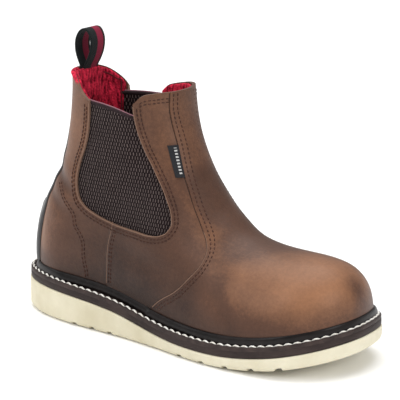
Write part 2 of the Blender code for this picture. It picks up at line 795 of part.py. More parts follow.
def make_pull_loop(parts, finish):
    """The webbing loop: a band with both ends held inside the collar's back."""
    line = path(LOOP_PATH, LOOP_POINTS)
    top = HEEL_FEATHER + SHAFT_HEIGHT
    drop = top - LOOP_TAIL
    edge = np.array([LOOP_WIDTH / 2])
    wall = float(back_point(edge, np.array([top]))[0, 0]) + LEATHER + 2 * CLEAR
    foot = float(back_point(edge, np.array([drop]))[0, 0]) + LEATHER + 2 * CLEAR
    x = wall + WEBBING + CLEAR / 2 + line[:, 0] * LOOP_DEPTH
    z = top + CLEAR + line[:, 1] * LOOP_HEIGHT
    x[0], x[-1] = wall + WEBBING / 2, wall + WEBBING * 1.5 + CLEAR
    x = np.concatenate([[foot + WEBBING / 2, x[0]], x, [x[-1], foot + WEBBING * 1.5 + CLEAR]])
    z = np.concatenate([[drop, top - 0.001], z, [top - 0.001, drop]])
    centre = np.stack([x, z], axis=1)
    tangent = np.gradient(centre, axis=0)
    tangent /= np.linalg.norm(tangent, axis=1, keepdims=True)
    out = np.stack([-tangent[:, 1], tangent[:, 0]], axis=1) * WEBBING / 2
    loops = []
    for k in range(len(centre)):
        corners = []
        for sign, y in ((-1, -1), (-1, 1), (1, 1), (1, -1)):
            side = centre[k] + sign * out[k]
            corners.append((side[0], y * LOOP_WIDTH / 2, side[1]))
        loops.append(corners)
    loops_object("pull_loop", loops, parts, finish)


def make_tag(parts, finish):
    """The woven tag on the quarter, along the vamp's edge on the outer side."""
    length = TAG_LENGTH / SHAFT_HEIGHT
    rows = np.linspace(TAG_FOOT, TAG_FOOT + length, 6)
    up, across = np.meshgrid(rows, np.linspace(0, 1, 4), indexing="ij")
    front = COLLAR_BACK + column(up, VAMP_EDGE, 1) * COLLAR_LENGTH - TAG_SETBACK
    x = front - TAG_WIDTH * (1 - across)
    points = side_point(x, HEEL_FEATHER + up * SHAFT_HEIGHT, -1)
    normal = normals_at(points)
    inner = points + normal * CLEAR
    sheet_object("side_tag", inner + normal * TAG_THICK, inner, parts, finish)


parts, cutters = start_scene()
walls = upper_walls()
leather = material("pull_up_leather", (0.205, 0.100, 0.066), 0.45)
elastic = material("ribbed_elastic", (0.020, 0.012, 0.012), 0.80)
rubber = material("moulded_black_rubber", (0.018, 0.015, 0.015), 0.42)
make_outsole(parts, cutters, material("cream_wedge_rubber", (0.76, 0.66, 0.48), 0.60))
make_midsole(parts, material("dark_midsole_rubber", (0.075, 0.048, 0.045), 0.60))
make_welt(parts, walls, material("waxed_welt_leather", (0.022, 0.017, 0.018), 0.40))
make_insole(parts, walls, material("insole_felt", (0.060, 0.055, 0.052), 0.85))
make_upper(parts, cutters, walls, leather)
make_gore("gore_outer", -1, parts, elastic)
make_gore("gore_inner", 1, parts, elastic)
make_back_stay(parts, rubber)
make_pull_loop(parts, material("loop_webbing", (0.055, 0.020, 0.024), 0.80))
make_tag(parts, material("tag_weave", (0.045, 0.045, 0.048), 0.75))
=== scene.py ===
"""Dressed scene of the wedge sole work boot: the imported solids, refined and finished."""

import math

import bmesh
import bpy
import numpy as np
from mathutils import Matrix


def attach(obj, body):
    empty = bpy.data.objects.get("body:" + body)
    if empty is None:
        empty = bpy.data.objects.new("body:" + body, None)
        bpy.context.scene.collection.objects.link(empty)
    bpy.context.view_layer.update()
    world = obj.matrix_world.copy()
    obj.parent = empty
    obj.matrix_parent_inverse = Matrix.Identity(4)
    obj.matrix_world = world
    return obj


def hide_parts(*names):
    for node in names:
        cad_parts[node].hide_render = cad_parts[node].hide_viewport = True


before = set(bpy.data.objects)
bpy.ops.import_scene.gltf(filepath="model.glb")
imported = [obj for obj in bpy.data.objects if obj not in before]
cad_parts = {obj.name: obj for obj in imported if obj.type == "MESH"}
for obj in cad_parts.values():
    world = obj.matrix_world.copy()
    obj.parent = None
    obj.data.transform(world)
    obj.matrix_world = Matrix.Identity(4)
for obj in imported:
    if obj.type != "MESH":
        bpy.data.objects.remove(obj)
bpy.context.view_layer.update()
boot = bpy.data.collections.new("boot")
bpy.context.scene.collection.children.link(boot)

# The wedge
# The cream outsole: one block of blown rubber, thick under the heel and thin at the ball, moulded
# with a rounded bottom edge and a few cross grooves. It is cemented under the dark midsole.
SOLE_LENGTH = 0.306
BALL_WIDTH = 0.116
HEEL_THICK = 0.024
ARCH_THICK = 0.0195
FOREFOOT_THICK = 0.009
TOE_THICK = 0.0115
TOE_SPRING = 0.0165
SPRING_START = 0.64
EDGE_ROUND = 0.0042
MIDSOLE_THICK = 0.0052
CLEAR = 0.0003
SOLE_PLAN = (
    # along, outer, inner
    (0.000, 0.000, 0.000),
    (0.020, 0.148, 0.150),
    (0.060, 0.242, 0.245),
    (0.120, 0.313, 0.315),
    (0.200, 0.357, 0.350),
    (0.300, 0.373, 0.345),
    (0.400, 0.392, 0.350),
    (0.500, 0.428, 0.384),
    (0.600, 0.475, 0.438),
    (0.700, 0.500, 0.484),
    (0.780, 0.492, 0.500),
    (0.860, 0.453, 0.493),
    (0.920, 0.369, 0.441),
    (0.960, 0.270, 0.361),
    (0.985, 0.165, 0.251),
    (1.000, 0.000, 0.000),
)
GROOVES = [0.0700 + 0.0180 * k for k in range(3)] + [0.1790 + 0.0215 * k for k in range(5)]
GROOVE_WIDTH = 0.0056
GROOVE_DEPTH = 0.0026


def hermite(at, stations, values):
    """A smooth curve through stations and values, with slopes from the neighbours."""
    at = np.clip(at, stations[0], stations[-1])
    slopes = np.gradient(values, stations)
    k = np.clip(np.searchsorted(stations, at, side="right") - 1, 0, len(stations) - 2)
    width = stations[k + 1] - stations[k]
    t = (at - stations[k]) / width
    low = values[k] * (1 + 2 * t) * (1 - t) ** 2 + width * slopes[k] * t * (1 - t) ** 2
    high = values[k + 1] * t * t * (3 - 2 * t) + width * slopes[k + 1] * t * t * (t - 1)
    return low + high

def column(at, table, index):
    rows = np.array(table)
    return hermite(at, rows[:, 0], rows[:, index])

def half_width(at, table, index):
    """A column of half widths. Its squares are what is smooth, so that the ends come out round."""
    rows = np.array(table)
    return np.sqrt(np.maximum(hermite(at, rows[:, 0], rows[:, index] ** 2), 0.0))

def ramp(value, low, high):
    t = np.clip((value - low) / (high - low), 0.0, 1.0)
    return t * t * (3 - 2 * t)

def sole_bottom(x):
    """Height of the ground side of the sole: flat up to the ball, then the toe spring."""
    along = x / SOLE_LENGTH + 0.5
    return TOE_SPRING * np.clip((along - SPRING_START) / (1 - SPRING_START), 0.0, 1.05) ** 2

def sole_top(x):
    """Height of the top of the wedge: thick heel, filled arch, thin forefoot."""
    thick = column(x / SOLE_LENGTH + 0.5, (
        (-0.05, HEEL_THICK),
        (0.08, HEEL_THICK),
        (0.34, ARCH_THICK),
        (0.53, FOREFOOT_THICK * 1.08),
        (0.70, FOREFOOT_THICK),
        (0.86, (FOREFOOT_THICK + TOE_THICK) / 2),
        (1.05, TOE_THICK),
    ), 1)
    return sole_bottom(x) + thick

def feather(x):
    """Height of the midsole's top, where the upper, the welt and the insole stand."""
    return sole_top(x) + CLEAR + MIDSOLE_THICK


def groove_rise(x):
    """How far the tread grooves cut up into the wedge at x: steep walls with rounded feet."""
    rise = np.zeros_like(x)
    for start in GROOVES:
        off = np.abs(x + SOLE_LENGTH / 2 - start) - GROOVE_WIDTH / 2
        rise = np.maximum(rise, GROOVE_DEPTH * (1 - ramp(off, -0.0008, 0.0004)))
    return rise


def sole_stations():
    """Stations from heel to toe, close at both ends and at the walls of each groove."""
    even = -SOLE_LENGTH / 2 * np.cos(np.linspace(0, math.pi, 151))
    walls = [
        start - SOLE_LENGTH / 2 + side * GROOVE_WIDTH / 2 + step
        for start in GROOVES for side in (-1, 1) for step in (-0.0008, -0.0004, 0.0, 0.0004, 0.0008)
    ]
    return np.unique(np.round(np.concatenate([even, walls]), 6))


def sole_plan(stations):
    """The outline at the stations: the outer side from heel to toe, then the inner side back."""
    along = stations / SOLE_LENGTH + 0.5
    there = np.stack([stations, -half_width(along, SOLE_PLAN, 1) * BALL_WIDTH], axis=1)
    back = np.stack([stations, half_width(along, SOLE_PLAN, 2) * BALL_WIDTH], axis=1)
    return np.concatenate([there, back[-2:0:-1]])


def set_out(loop, distance):
    """A closed loop of plan points moved outwards across its own run, or inwards for less than 0."""
    tangent = np.roll(loop[:, :2], -1, axis=0) - np.roll(loop[:, :2], 1, axis=0)
    outward = np.stack([tangent[:, 1], -tangent[:, 0]], axis=1)
    turn = (loop[:, 0] * np.roll(loop[:, 1], -1) - np.roll(loop[:, 0], -1) * loop[:, 1]).sum()
    outward *= np.sign(turn) / np.linalg.norm(outward, axis=1, keepdims=True)
    moved = loop.copy()
    moved[:, :2] += outward * np.broadcast_to(distance, len(loop))[:, None]
    return moved


def piece(name, points, faces, finish, slot=None, replaces=(), angle=40):
    """A mesh piece that rides on the boot, with smooth shading and its finish."""
    mesh = bpy.data.meshes.new(name)
    mesh.from_pydata(np.asarray(points, float).reshape(-1, 3).tolist(), [], faces)
    shape = bmesh.new()
    shape.from_mesh(mesh)
    bmesh.ops.recalc_face_normals(shape, faces=shape.faces)
    shape.to_mesh(mesh)
    shape.free()
    mesh.shade_smooth()
    mesh.set_sharp_from_angle(angle=math.radians(angle))
    mesh.materials.append(finish)
    made = bpy.data.objects.new(name, mesh)
    boot.objects.link(made)
    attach(made, "root")
    if replaces:
        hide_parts(*replaces)
    return made


def wound(loops, count, closed=False):
    """Faces between closed loops of count points each."""
    faces = []
    for k in range(loops if closed else loops - 1):
        for i in range(count):
            j = (i + 1) % count
            above = (k + 1) % loops * count
            faces.append((k * count + i, k * count + j, above + j, above + i))
    return faces


def strips(first, count):
    """Faces across a station loop, from its outer to its inner side."""
    faces = []
    for i in range(count // 2):
        corners = (i, i + 1, count - i - 1, count - i)
        faces.append(tuple(dict.fromkeys(first + k % count for k in corners)))
    return faces


def block(name, loops, finish, slot):
    """A solid layer of the sole: station loops from one face to the other, closed at both."""
    count = len(loops[0])
    faces = wound(len(loops), count) + strips(0, count) + strips((len(loops) - 1) * count, count)
    piece(name, np.concatenate(loops), faces, finish, slot, [slot], 50)


def linear(colour):
    """An sRGB hex colour as the linear values that the shaders take."""
    parts = [int(colour[k:k + 2], 16) / 255 for k in (1, 3, 5)]
    return tuple(p / 12.92 if p <= 0.04045 else ((p + 0.055) / 1.055) ** 2.4 for p in parts) + (1.0,)


def node(tree, kind, inputs=None, **settings):
    """A node with its settings. Each input is a value, or the output that it is linked to."""
    made = tree.nodes.new(kind)
    for key, value in settings.items():
        setattr(made, key, value)
    for key, value in (inputs or {}).items():
        socket = made.inputs[key]
        if isinstance(value, bpy.types.NodeSocket):
            tree.links.new(value, socket)
        else:
            socket.default_value = value
    return made


def finish(name, colour, roughness, ior=1.5, **constants):
    """A named material with its Principled shader set to the plain values of what it is."""
    made = bpy.data.materials.new(name)
    made.use_nodes = True
    shader = made.node_tree.nodes["Principled BSDF"]
    shader.inputs["Base Color"].default_value = linear(colour)
    shader.inputs["Roughness"].default_value = roughness
    shader.inputs["IOR"].default_value = ior
    for key, value in constants.items():
        shader.inputs[key.replace("_", " ")].default_value = value
    return made, made.node_tree, shader


def mottle(tree, shader, colours, scale, detail=6.0, spread=(0.35, 0.65)):
    """Colour that drifts between two shades over the surface, as dye and dirt do."""
    place = node(tree, "ShaderNodeTexCoord").outputs["Object"]
    noise = node(tree, "ShaderNodeTexNoise", {
        "Vector": place, "Scale": scale, "Detail": detail, "Roughness": 0.6,
    })
    ramp_node = node(tree, "ShaderNodeValToRGB", {"Fac": noise.outputs["Fac"]})
    for stop, at, colour in zip(ramp_node.color_ramp.elements, spread, colours):
        stop.position, stop.color = at, linear(colour)
    tree.links.new(ramp_node.outputs["Color"], shader.inputs["Base Color"])
    return place, noise


def bump(tree, shader, height, distance, strength=1.0, under=None):
    """Fine relief from a height value, with its depth in metres, over another bump if one is given."""
    inputs = {"Height": height, "Distance": distance, "Strength": strength}
    if under:
        inputs["Normal"] = under.outputs["Normal"]
    made = node(tree, "ShaderNodeBump", inputs)
    tree.links.new(made.outputs["Normal"], shader.inputs["Normal"])
    return made


# Blown rubber is closed-cell foam with a thin moulded skin: matt, a little chalky, with a grain of
# about half a millimetre, drawn at 0.8 mm so that it shows, and slightly dirtier in places.
cream, tree, shader = finish("blown_rubber", "#D8CFB4", 0.62, 1.5, Subsurface_Weight=0.06)
shader.inputs["Subsurface Radius"].default_value = (0.004, 0.003, 0.002)
place = mottle(tree, shader, ("#CEC5A8", "#E1DAC2"), 22.0)[0]
grain = node(tree, "ShaderNodeTexNoise", {"Vector": place, "Scale": 1200.0, "Detail": 3.0})
bump(tree, shader, grain.outputs["Fac"], 0.0002, 0.5)

stations = sole_stations()
outline = sole_plan(stations)
station_of = np.concatenate([stations, stations[-2:0:-1]])
rise = groove_rise(station_of)
sections = [(0.0006, None, 0.0), (0.0, None, -0.0007), (0.0, None, -0.0020)]
sections += [(0.0, 0.0, EDGE_ROUND + 0.0006)]
for turn in (0, 18, 36, 54, 72, 90):
    angle = math.radians(turn)
    sections.append((EDGE_ROUND * (1 - math.cos(angle)), 0.0, EDGE_ROUND * (1 - math.sin(angle))))
sections.append((EDGE_ROUND + 0.006, 0.0, 0.0))
loops = []
for inset, from_bottom, height in sections:
    loop = set_out(outline, -inset)
    floor = sole_bottom(loop[:, 0])
    top = sole_top(loop[:, 0])
    z = top + height if from_bottom is None else np.maximum(floor + height, floor + rise)
    loops.append(np.column_stack([loop, np.minimum(z, top)]))
block("wedge", loops, cream, "outsole")

# The midsole band
# A strip of dark rubber between the welt and the wedge, cut level with both by the edge trimmer,
# which leaves it matt with fine lines along the sole.
MIDSOLE_INSET = 0.0006
plum, tree, shader = finish("trimmed_midsole_rubber", "#3C2E2B", 0.6, Specular_IOR_Level=0.25)
place = mottle(tree, shader, ("#271D1B", "#3A2E2B"), 40.0)[0]
drawn = node(tree, "ShaderNodeMapping", {"Vector": place, "Scale": (90, 90, 2200)})
lines = node(tree, "ShaderNodeTexNoise", {"Vector": drawn.outputs[0], "Scale": 1.0, "Detail": 2.0})
bump(tree, shader, lines.outputs["Fac"], 0.0003, 0.6)
loops = []
for inset, height in ((0.0005, 0.0), (0.0, 0.0004), (-0.0001, 0.0026), (0.0, 0.0049), (0.0002, 0.0052)):
    loop = set_out(outline, -MIDSOLE_INSET - inset)
    loops.append(np.column_stack([loop, sole_top(loop[:, 0]) + CLEAR + height]))
block("midsole_band", loops, plum, "midsole")

# The insole
# A felt-faced footbed, glued down inside. Only its top is seen, deep in the boot.
felt, tree, shader = finish("pressed_felt", "#3A3636", 0.95, 1.45, Sheen_Weight=0.3)
place = mottle(tree, shader, ("#2C2929", "#474242"), 60.0)[0]
fuzz = node(tree, "ShaderNodeTexNoise", {"Vector": place, "Scale": 1500.0, "Detail": 4.0})
bump(tree, shader, fuzz.outputs["Fac"], 0.0004, 0.8)
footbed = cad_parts["insole"]
footbed.material_slots[0].material = felt

# The shape of the upper
# Leather pulled over a last: a foot with arched sections blended with a leg with oval ones. The
# panels, the lining, the elastics and the stitches below all lie on this one surface.
UPPER_LENGTH = 0.9428 * SOLE_LENGTH
UPPER_SETBACK = 0.0115
UPPER_BALL_WIDTH = 0.888 * BALL_WIDTH
INSTEP_HEIGHT = 0.0860
SHAFT_HEIGHT = 0.1650
COLLAR_LENGTH = 0.1010
COLLAR_WIDTH = 0.0770
LEATHER = 0.0022
VAMP_STEP = 0.0012
TOE_CAP_START = 0.80
TOE_CAP_POWER = 2.8
FEATHER_TUCK = 0.05
SIDE_POWER = 2.3
CROWN_POWER = 2.2
LEG_POWER = 2.15
HEEL_BLEND = 0.004
INSTEP_BLEND = 0.022
SHEET_KNEE = 1.10
SHEET_SOFT = 0.10
LEAN_START = 0.45
LEAN_END = 0.82
INNER_MIDDLE = 0.352
OUTER_MIDDLE = 0.555
INNER_NARROW = 0.74
HEEL_X = -SOLE_LENGTH / 2 + UPPER_SETBACK
COLLAR_BACK = HEEL_X + 0.1258 * UPPER_LENGTH
COLLAR_MIDDLE = COLLAR_BACK + COLLAR_LENGTH / 2
HEEL_FEATHER = HEEL_THICK + CLEAR + MIDSOLE_THICK
FOOT = (
    # along, outer, inner, ridge
    (0.000, 0.000, 0.000, 0.60),
    (0.025, 0.155, 0.155, 0.66),
    (0.070, 0.245, 0.245, 0.75),
    (0.150, 0.305, 0.305, 0.92),
    (0.300, 0.340, 0.325, 1.05),
    (0.450, 0.385, 0.345, 1.10),
    (0.550, 0.435, 0.395, 0.975),
    (0.650, 0.485, 0.455, 0.82),
    (0.740, 0.505, 0.495, 0.735),
    (0.820, 0.490, 0.505, 0.675),
    (0.880, 0.448, 0.485, 0.64),
    (0.930, 0.365, 0.430, 0.62),
    (0.970, 0.250, 0.320, 0.60),
    (0.990, 0.145, 0.200, 0.60),
    (1.000, 0.000, 0.000, 0.60),
)
LEG = (
    # up, back, widest, front, half width
    (0.000, 0.000, 0.153, 0.470, 0.430),
    (0.090, 0.003, 0.148, 0.485, 0.450),
    (0.200, 0.012, 0.158, 0.500, 0.455),
    (0.365, 0.036, 0.193, 0.534, 0.445),
    (0.545, 0.087, 0.246, 0.541, 0.450),
    (0.725, 0.117, 0.276, 0.503, 0.475),
    (0.910, 0.130, 0.296, 0.476, 0.500),
    (1.050, 0.131, 0.296, 0.465, 0.505),
)
COLLAR_EDGE = (
    # along, outer, inner
    (0.00, 0.000, 0.000),
    (0.08, 0.000, -0.026),
    (0.12, 0.000, -0.048),
    (0.19, -0.026, -0.096),
    (0.25, -0.062, -0.158),
    (0.36, -0.105, -0.170),
    (0.43, -0.120, -0.165),
    (0.50, -0.135, -0.122),
    (0.54, -0.138, -0.099),
    (0.62, -0.138, -0.080),
    (0.68, -0.135, -0.072),
    (0.75, -0.095, -0.062),
    (0.80, -0.064, -0.057),
    (0.88, -0.052, -0.052),
    (1.00, -0.052, -0.052),
    (1.30, -0.020, -0.020),
)
VAMP_EDGE = (
    # up, along
    (-0.060, 0.880),
    (-0.020, 0.937),
    (0.036, 1.038),
    (0.100, 1.192),
    (0.155, 1.281),
    (0.233, 1.380),
    (0.288, 1.394),
    (0.324, 1.370),
    (0.379, 1.309),
    (0.445, 1.235),
    (0.530, 1.154),
    (0.579, 1.110),
    (0.724, 1.017),
    (0.864, 0.954),
    (1.000, 0.940),
)
GORE_EDGE = (
    # along, up
    (0.358, 1.060),
    (0.356, 0.827),
    (0.327, 0.730),
    (0.286, 0.661),
    (0.242, 0.607),
    (0.208, 0.541),
    (0.202, 0.480),
    (0.225, 0.427),
    (0.279, 0.391),
    (0.358, 0.367),
    (0.448, 0.347),
    (0.566, 0.332),
    (0.769, 0.322),
    (0.893, 0.317),
    (0.992, 0.326),
    (1.056, 0.348),
    (1.085, 0.382),
    (1.076, 0.415),
    (1.011, 0.504),
    (0.910, 0.608),
    (0.816, 0.715),
    (0.769, 0.809),
    (0.755, 0.858),
    (0.745, 1.060),
)


def path(table, count):
    """Evenly numbered points on a smooth line through a table's rows."""
    rows = np.array(table)
    steps = np.linalg.norm(np.diff(rows, axis=0), axis=1)
    along = np.concatenate([[0.0], np.cumsum(steps)])
    at = np.linspace(0.0, along[-1], count)
    return np.stack([hermite(at, along, rows[:, 0]), hermite(at, along, rows[:, 1])], axis=1)


def foot_distance(x, y, z):
    """About how far a point lies outside the foot of the upper."""
    along = (x - HEEL_X) / UPPER_LENGTH
    inside = np.clip(along, 0.0, 1.0)
    share = np.where(y < 0, half_width(inside, FOOT, 1), half_width(inside, FOOT, 2))
    cap = np.clip((along - TOE_CAP_START) / (1 - TOE_CAP_START), 0.0, 1.0)
    ridge = column(inside, FOOT, 3) * INSTEP_HEIGHT * (1 - cap ** TOE_CAP_POWER) ** (1 / TOE_CAP_POWER)
    up = (z - feather(x)) / np.maximum(ridge, 1e-4)
    tuck = 1 - FEATHER_TUCK * np.clip(1 - up / 0.22, 0.0, 1.5) ** 2
    across = np.abs(y) / (np.maximum(share * UPPER_BALL_WIDTH, 1e-5) * tuck)
    rho = (across ** SIDE_POWER + np.clip(up, 0.0, None) ** CROWN_POWER) ** (1 / SIDE_POWER)
    beyond = np.abs(along - 0.5) - 0.5
    return (np.maximum(rho, 1 + 20 * beyond) - 1) * UPPER_BALL_WIDTH * 0.3


def leg_distance(x, y, z):
    """About how far a point lies outside the leg of the upper."""
    up = (z - feather(x)) / SHAFT_HEIGHT
    back = HEEL_X + column(up, LEG, 1) * UPPER_LENGTH
    widest = HEEL_X + column(up, LEG, 2) * UPPER_LENGTH
    front = HEEL_X + column(up, LEG, 3) * UPPER_LENGTH
    wide = column(up, LEG, 4) * COLLAR_WIDTH
    reach = np.where(x < widest, widest - back, front - widest)
    rho = ((np.abs(x - widest) / reach) ** LEG_POWER + (np.abs(y) / wide) ** LEG_POWER) ** (1 / LEG_POWER)
    return (rho - 1) * COLLAR_WIDTH * 0.4


def upper_distance(x, y, z):
    """The smooth union of foot and leg: a wide blend at the instep and a small one at the heel."""
    foot, leg = foot_distance(x, y, z), leg_distance(x, y, z)
    share = ramp(x, HEEL_X + 0.25 * UPPER_LENGTH, HEEL_X + 0.5 * UPPER_LENGTH)
    blend = HEEL_BLEND + (INSTEP_BLEND - HEEL_BLEND) * share
    mix = np.clip(0.5 + (leg - foot) / (2 * blend), 0.0, 1.0)
    return leg * (1 - mix) + foot * mix - blend * mix * (1 - mix)


def collar_height(x, y):
    """Height of the collar's edge over the floor. In front of the collar the same sheet runs on up."""
    along = (x - COLLAR_BACK) / COLLAR_LENGTH
    past = along - SHEET_KNEE
    rise = (past + np.sqrt(past ** 2 + SHEET_SOFT ** 2)) / 2 * COLLAR_LENGTH
    inner = ramp(y, 0.0, COLLAR_WIDTH / 4)
    edge = column(along, COLLAR_EDGE, 1) * (1 - inner) + column(along, COLLAR_EDGE, 2) * inner
    return HEEL_FEATHER + SHAFT_HEIGHT * (1 + edge) + rise


def lean(along, up, side):
    """The elastics' outline as it lies on one side: the inner one leans back towards its top."""
    share = ramp(up, LEAN_START, LEAN_END) * (side > 0)
    return along + share * (INNER_MIDDLE + (along - OUTER_MIDDLE) * INNER_NARROW - along)


def crossing(low, high, is_past, rounds):
    """Where the upper's surface is met between two distances, found by halving."""
    for _ in range(rounds):
        middle = (low + high) / 2
        past = is_past(middle)
        high = np.where(past, middle, high)
        low = np.where(past, low, middle)
    return middle


def ring(level, theta):
    """Points at levels from 0 at the feather line to 1 at the collar. Theta is 0 at the back, then
    90 degrees on the outer side and 180 at the toe."""
    level, theta = np.broadcast_arrays(level, theta)
    middle = COLLAR_MIDDLE * (1 - (1 - level) ** 4)
    reach_x = COLLAR_LENGTH / 2 + (UPPER_LENGTH - COLLAR_LENGTH) / 2 * (1 - level) ** 2
    reach_y = UPPER_BALL_WIDTH / 2 + (COLLAR_WIDTH - UPPER_BALL_WIDTH) / 2 * level

    def at(radius):
        x = middle - radius * reach_x * np.cos(theta)
        y = -radius * reach_y * np.sin(theta)
        return x, y, feather(x) * (1 - level) + collar_height(x, y) * level

    low, high = np.full(theta.shape, 0.2), np.full(theta.shape, 1.9)
    x, y, z = at(crossing(low, high, lambda radius: upper_distance(*at(radius)) > 0, 26))
    return np.stack([x, y, z + CLEAR], axis=-1)


def normals_at(points):
    """Outward directions of the upper's surface at points on it."""
    step = 2e-4
    x, y, z = points[..., 0], points[..., 1], points[..., 2]
    slope = np.stack([
        upper_distance(x + step, y, z) - upper_distance(x - step, y, z),
        upper_distance(x, y + step, z) - upper_distance(x, y - step, z),
        upper_distance(x, y, z + step) - upper_distance(x, y, z - step),
    ], axis=-1)
    return slope / np.linalg.norm(slope, axis=-1, keepdims=True)


def side_point(x, z, side):
    """The point of the upper's surface seen from the side at x and z. Side is -1 for the outer one."""
    low, high = np.zeros_like(x), np.full_like(x, UPPER_BALL_WIDTH)
    y = side * crossing(low, high, lambda y: upper_distance(x, side * y, z) > 0, 30)
    return np.stack([x, y, z], axis=-1)


def back_point(y, z):
    """The point of the upper's surface seen from behind at y and z."""
    low, high = np.full_like(y, HEEL_X - UPPER_SETBACK), np.full_like(y, COLLAR_MIDDLE)
    x = crossing(low, high, lambda x: upper_distance(x, y, z) <= 0, 30)
    return np.stack([x, y, z], axis=-1)


def edge_theta(table, level, side, theta, ahead_by=0.0):
    """Theta where a ring crosses a panel's edge, looked for at thetas of the outer side."""
    points = ring(level, theta if side < 0 else 2 * math.pi - theta)
    up = (points[:, 2] - HEEL_FEATHER) / SHAFT_HEIGHT
    ahead = points[:, 0] - COLLAR_BACK - column(up, table, 1) * COLLAR_LENGTH - ahead_by
    first = int(np.argmax(ahead > 0))
    share = ahead[first - 1] / (ahead[first - 1] - ahead[first])
    found = theta[first - 1] + share * (theta[first] - theta[first - 1])
    return found if side < 0 else 2 * math.pi - found


def vamp_theta(level, side, ahead_by=0.0):
    """Theta where a ring crosses the back edge of the vamp, or a line a distance in front of it."""
    theta = np.linspace(math.radians(30), math.radians(179), 260)
    return edge_theta(VAMP_EDGE, level, side, theta, ahead_by)


# Soft troughs where the boot has flexed: both ends of each seen from the side, half
# its width, its depth, and the side it is on (0 for both).
CREASES = (
    # x0, z0, x1, z1, half width, depth, side
    (0.012, 0.128, 0.034, 0.098, 0.0080, 0.0011, 0),
    (-0.002, 0.118, 0.022, 0.084, 0.0070, 0.0007, -1),
    (0.030, 0.112, 0.058, 0.086, 0.0090, 0.0008, 0),
    (-0.116, 0.118, -0.092, 0.104, 0.0060, 0.0009, 0),
    (-0.120, 0.100, -0.098, 0.088, 0.0055, 0.0006, -1),
    (-0.040, 0.066, 0.004, 0.058, 0.0070, 0.0005, -1),
    (0.052, 0.060, 0.070, 0.034, 0.0080, 0.0005, -1),
    (0.070, 0.062, 0.090, 0.038, 0.0070, 0.0004, 1),
)
# Broad swells and hollows: the middle seen from the side, its two reaches, height and side.
SWELLS = (
    # x, z, reach along, reach up, height, side
    (0.118, 0.056, 0.024, 0.016, 0.0008, 0),
    (0.060, 0.082, 0.030, 0.010, -0.0009, 0),
    (-0.020, 0.050, 0.030, 0.018, 0.0009, -1),
    (-0.020, 0.050, 0.030, 0.018, 0.0009, 1),
    (-0.095, 0.150, 0.010, 0.030, 0.0006, 0),
    (0.024, 0.046, 0.018, 0.014, -0.0006, -1),
    (-0.112, 0.068, 0.016, 0.018, 0.0007, -1),
)


def relief(points):
    """How far the leather stands out of the last's own surface at points on it."""
    x, y, z = points[..., 0], points[..., 1], points[..., 2]
    out = np.zeros_like(x)
    for x0, z0, x1, z1, half, depth, side in CREASES:
        run = np.array([x1 - x0, z1 - z0])
        length = np.linalg.norm(run)
        along = ((x - x0) * run[0] + (z - z0) * run[1]) / length / length
        across = ((x - x0) * run[1] - (z - z0) * run[0]) / length
        here = ramp(along, -0.3, 0.25) * (1 - ramp(along, 0.75, 1.3))
        if side:
            here = here * ramp(side * y, 0.004, 0.020)
        trough = np.exp(-(across / half) ** 2)
        ridges = np.exp(-((across - 1.9 * half) / half) ** 2) + np.exp(-((across + 1.9 * half) / half) ** 2)
        out += depth * here * (0.45 * ridges - trough)
    for x0, z0, reach_x, reach_z, height, side in SWELLS:
        here = np.exp(-((x - x0) / reach_x) ** 2 - ((z - z0) / reach_z) ** 2)
        if side:
            here = here * ramp(side * y, 0.004, 0.020)
        out += height * here
    return out * ramp(z, feather(x) + 0.010, feather(x) + 0.024)


def skin(level, theta, lift=0.0):
    """Points of the leather at levels and thetas, a distance over the last's own surface."""
    points = ring(level, theta)
    return points + normals_at(points) * (relief(points) + lift)[..., None]


def on_side(x, z, side, lift=0.0):
    """A point of the leather seen from one side at x and z."""
    points = side_point(x, z, side)
    normal = normals_at(points)
    return points + normal * (relief(points) + lift)[..., None], normal


def sheet(name, outer, inner, finish, **ways):
    """A panel between two grids of points, with its edges closed."""
    rows, columns = outer.shape[:2]
    back = rows * columns
    faces = []
    for i in range(rows - 1):
        for j in range(columns - 1):
            a = i * columns + j
            quad = (a, a + 1, a + columns + 1, a + columns)
            faces += [quad, tuple(back + k for k in reversed(quad))]
    rim = list(range(columns)) + [i * columns + columns - 1 for i in range(1, rows)]
    rim += [(rows - 1) * columns + j for j in range(columns - 2, -1, -1)]
    rim += [i * columns for i in range(rows - 2, 0, -1)]
    for k, here in enumerate(rim):
        after = rim[(k + 1) % len(rim)]
        faces.append((here, after, back + after, back + here))
    return piece(name, np.concatenate([outer.reshape(-1, 3), inner.reshape(-1, 3)]), faces, finish, **ways)


# The storm welt
# A flat strip of waxed leather stitched round the boot, with a rounded rib at its inner edge that
# seals against the upper. Its trimmed outer lip is paler than the waxed rib.
WELT_THICK = 0.0030
WELT_INSET = 0.0010
RIB_HEIGHT = 0.0066
waxed, tree, shader = finish("waxed_welt_leather", "#1C1716", 0.38, Specular_IOR_Level=0.15)
shader.inputs["Coat Weight"].default_value = 0.10
shader.inputs["Coat Roughness"].default_value = 0.15
place = mottle(tree, shader, ("#0D0A0A", "#1F1918"), 70.0)[0]
pores = node(tree, "ShaderNodeTexVoronoi", {"Vector": place, "Scale": 900.0})
bump(tree, shader, pores.outputs["Distance"], 0.0002, 0.35)
lip, tree, shader = finish("trimmed_welt_edge", "#3F322E", 0.55, Specular_IOR_Level=0.25)
noise = mottle(tree, shader, ("#2B211F", "#40332F"), 130.0)[1]
bump(tree, shader, noise.outputs["Fac"], 0.0003, 0.6)

WELT_TURNS = np.linspace(0, 2 * math.pi, 420, endpoint=False)


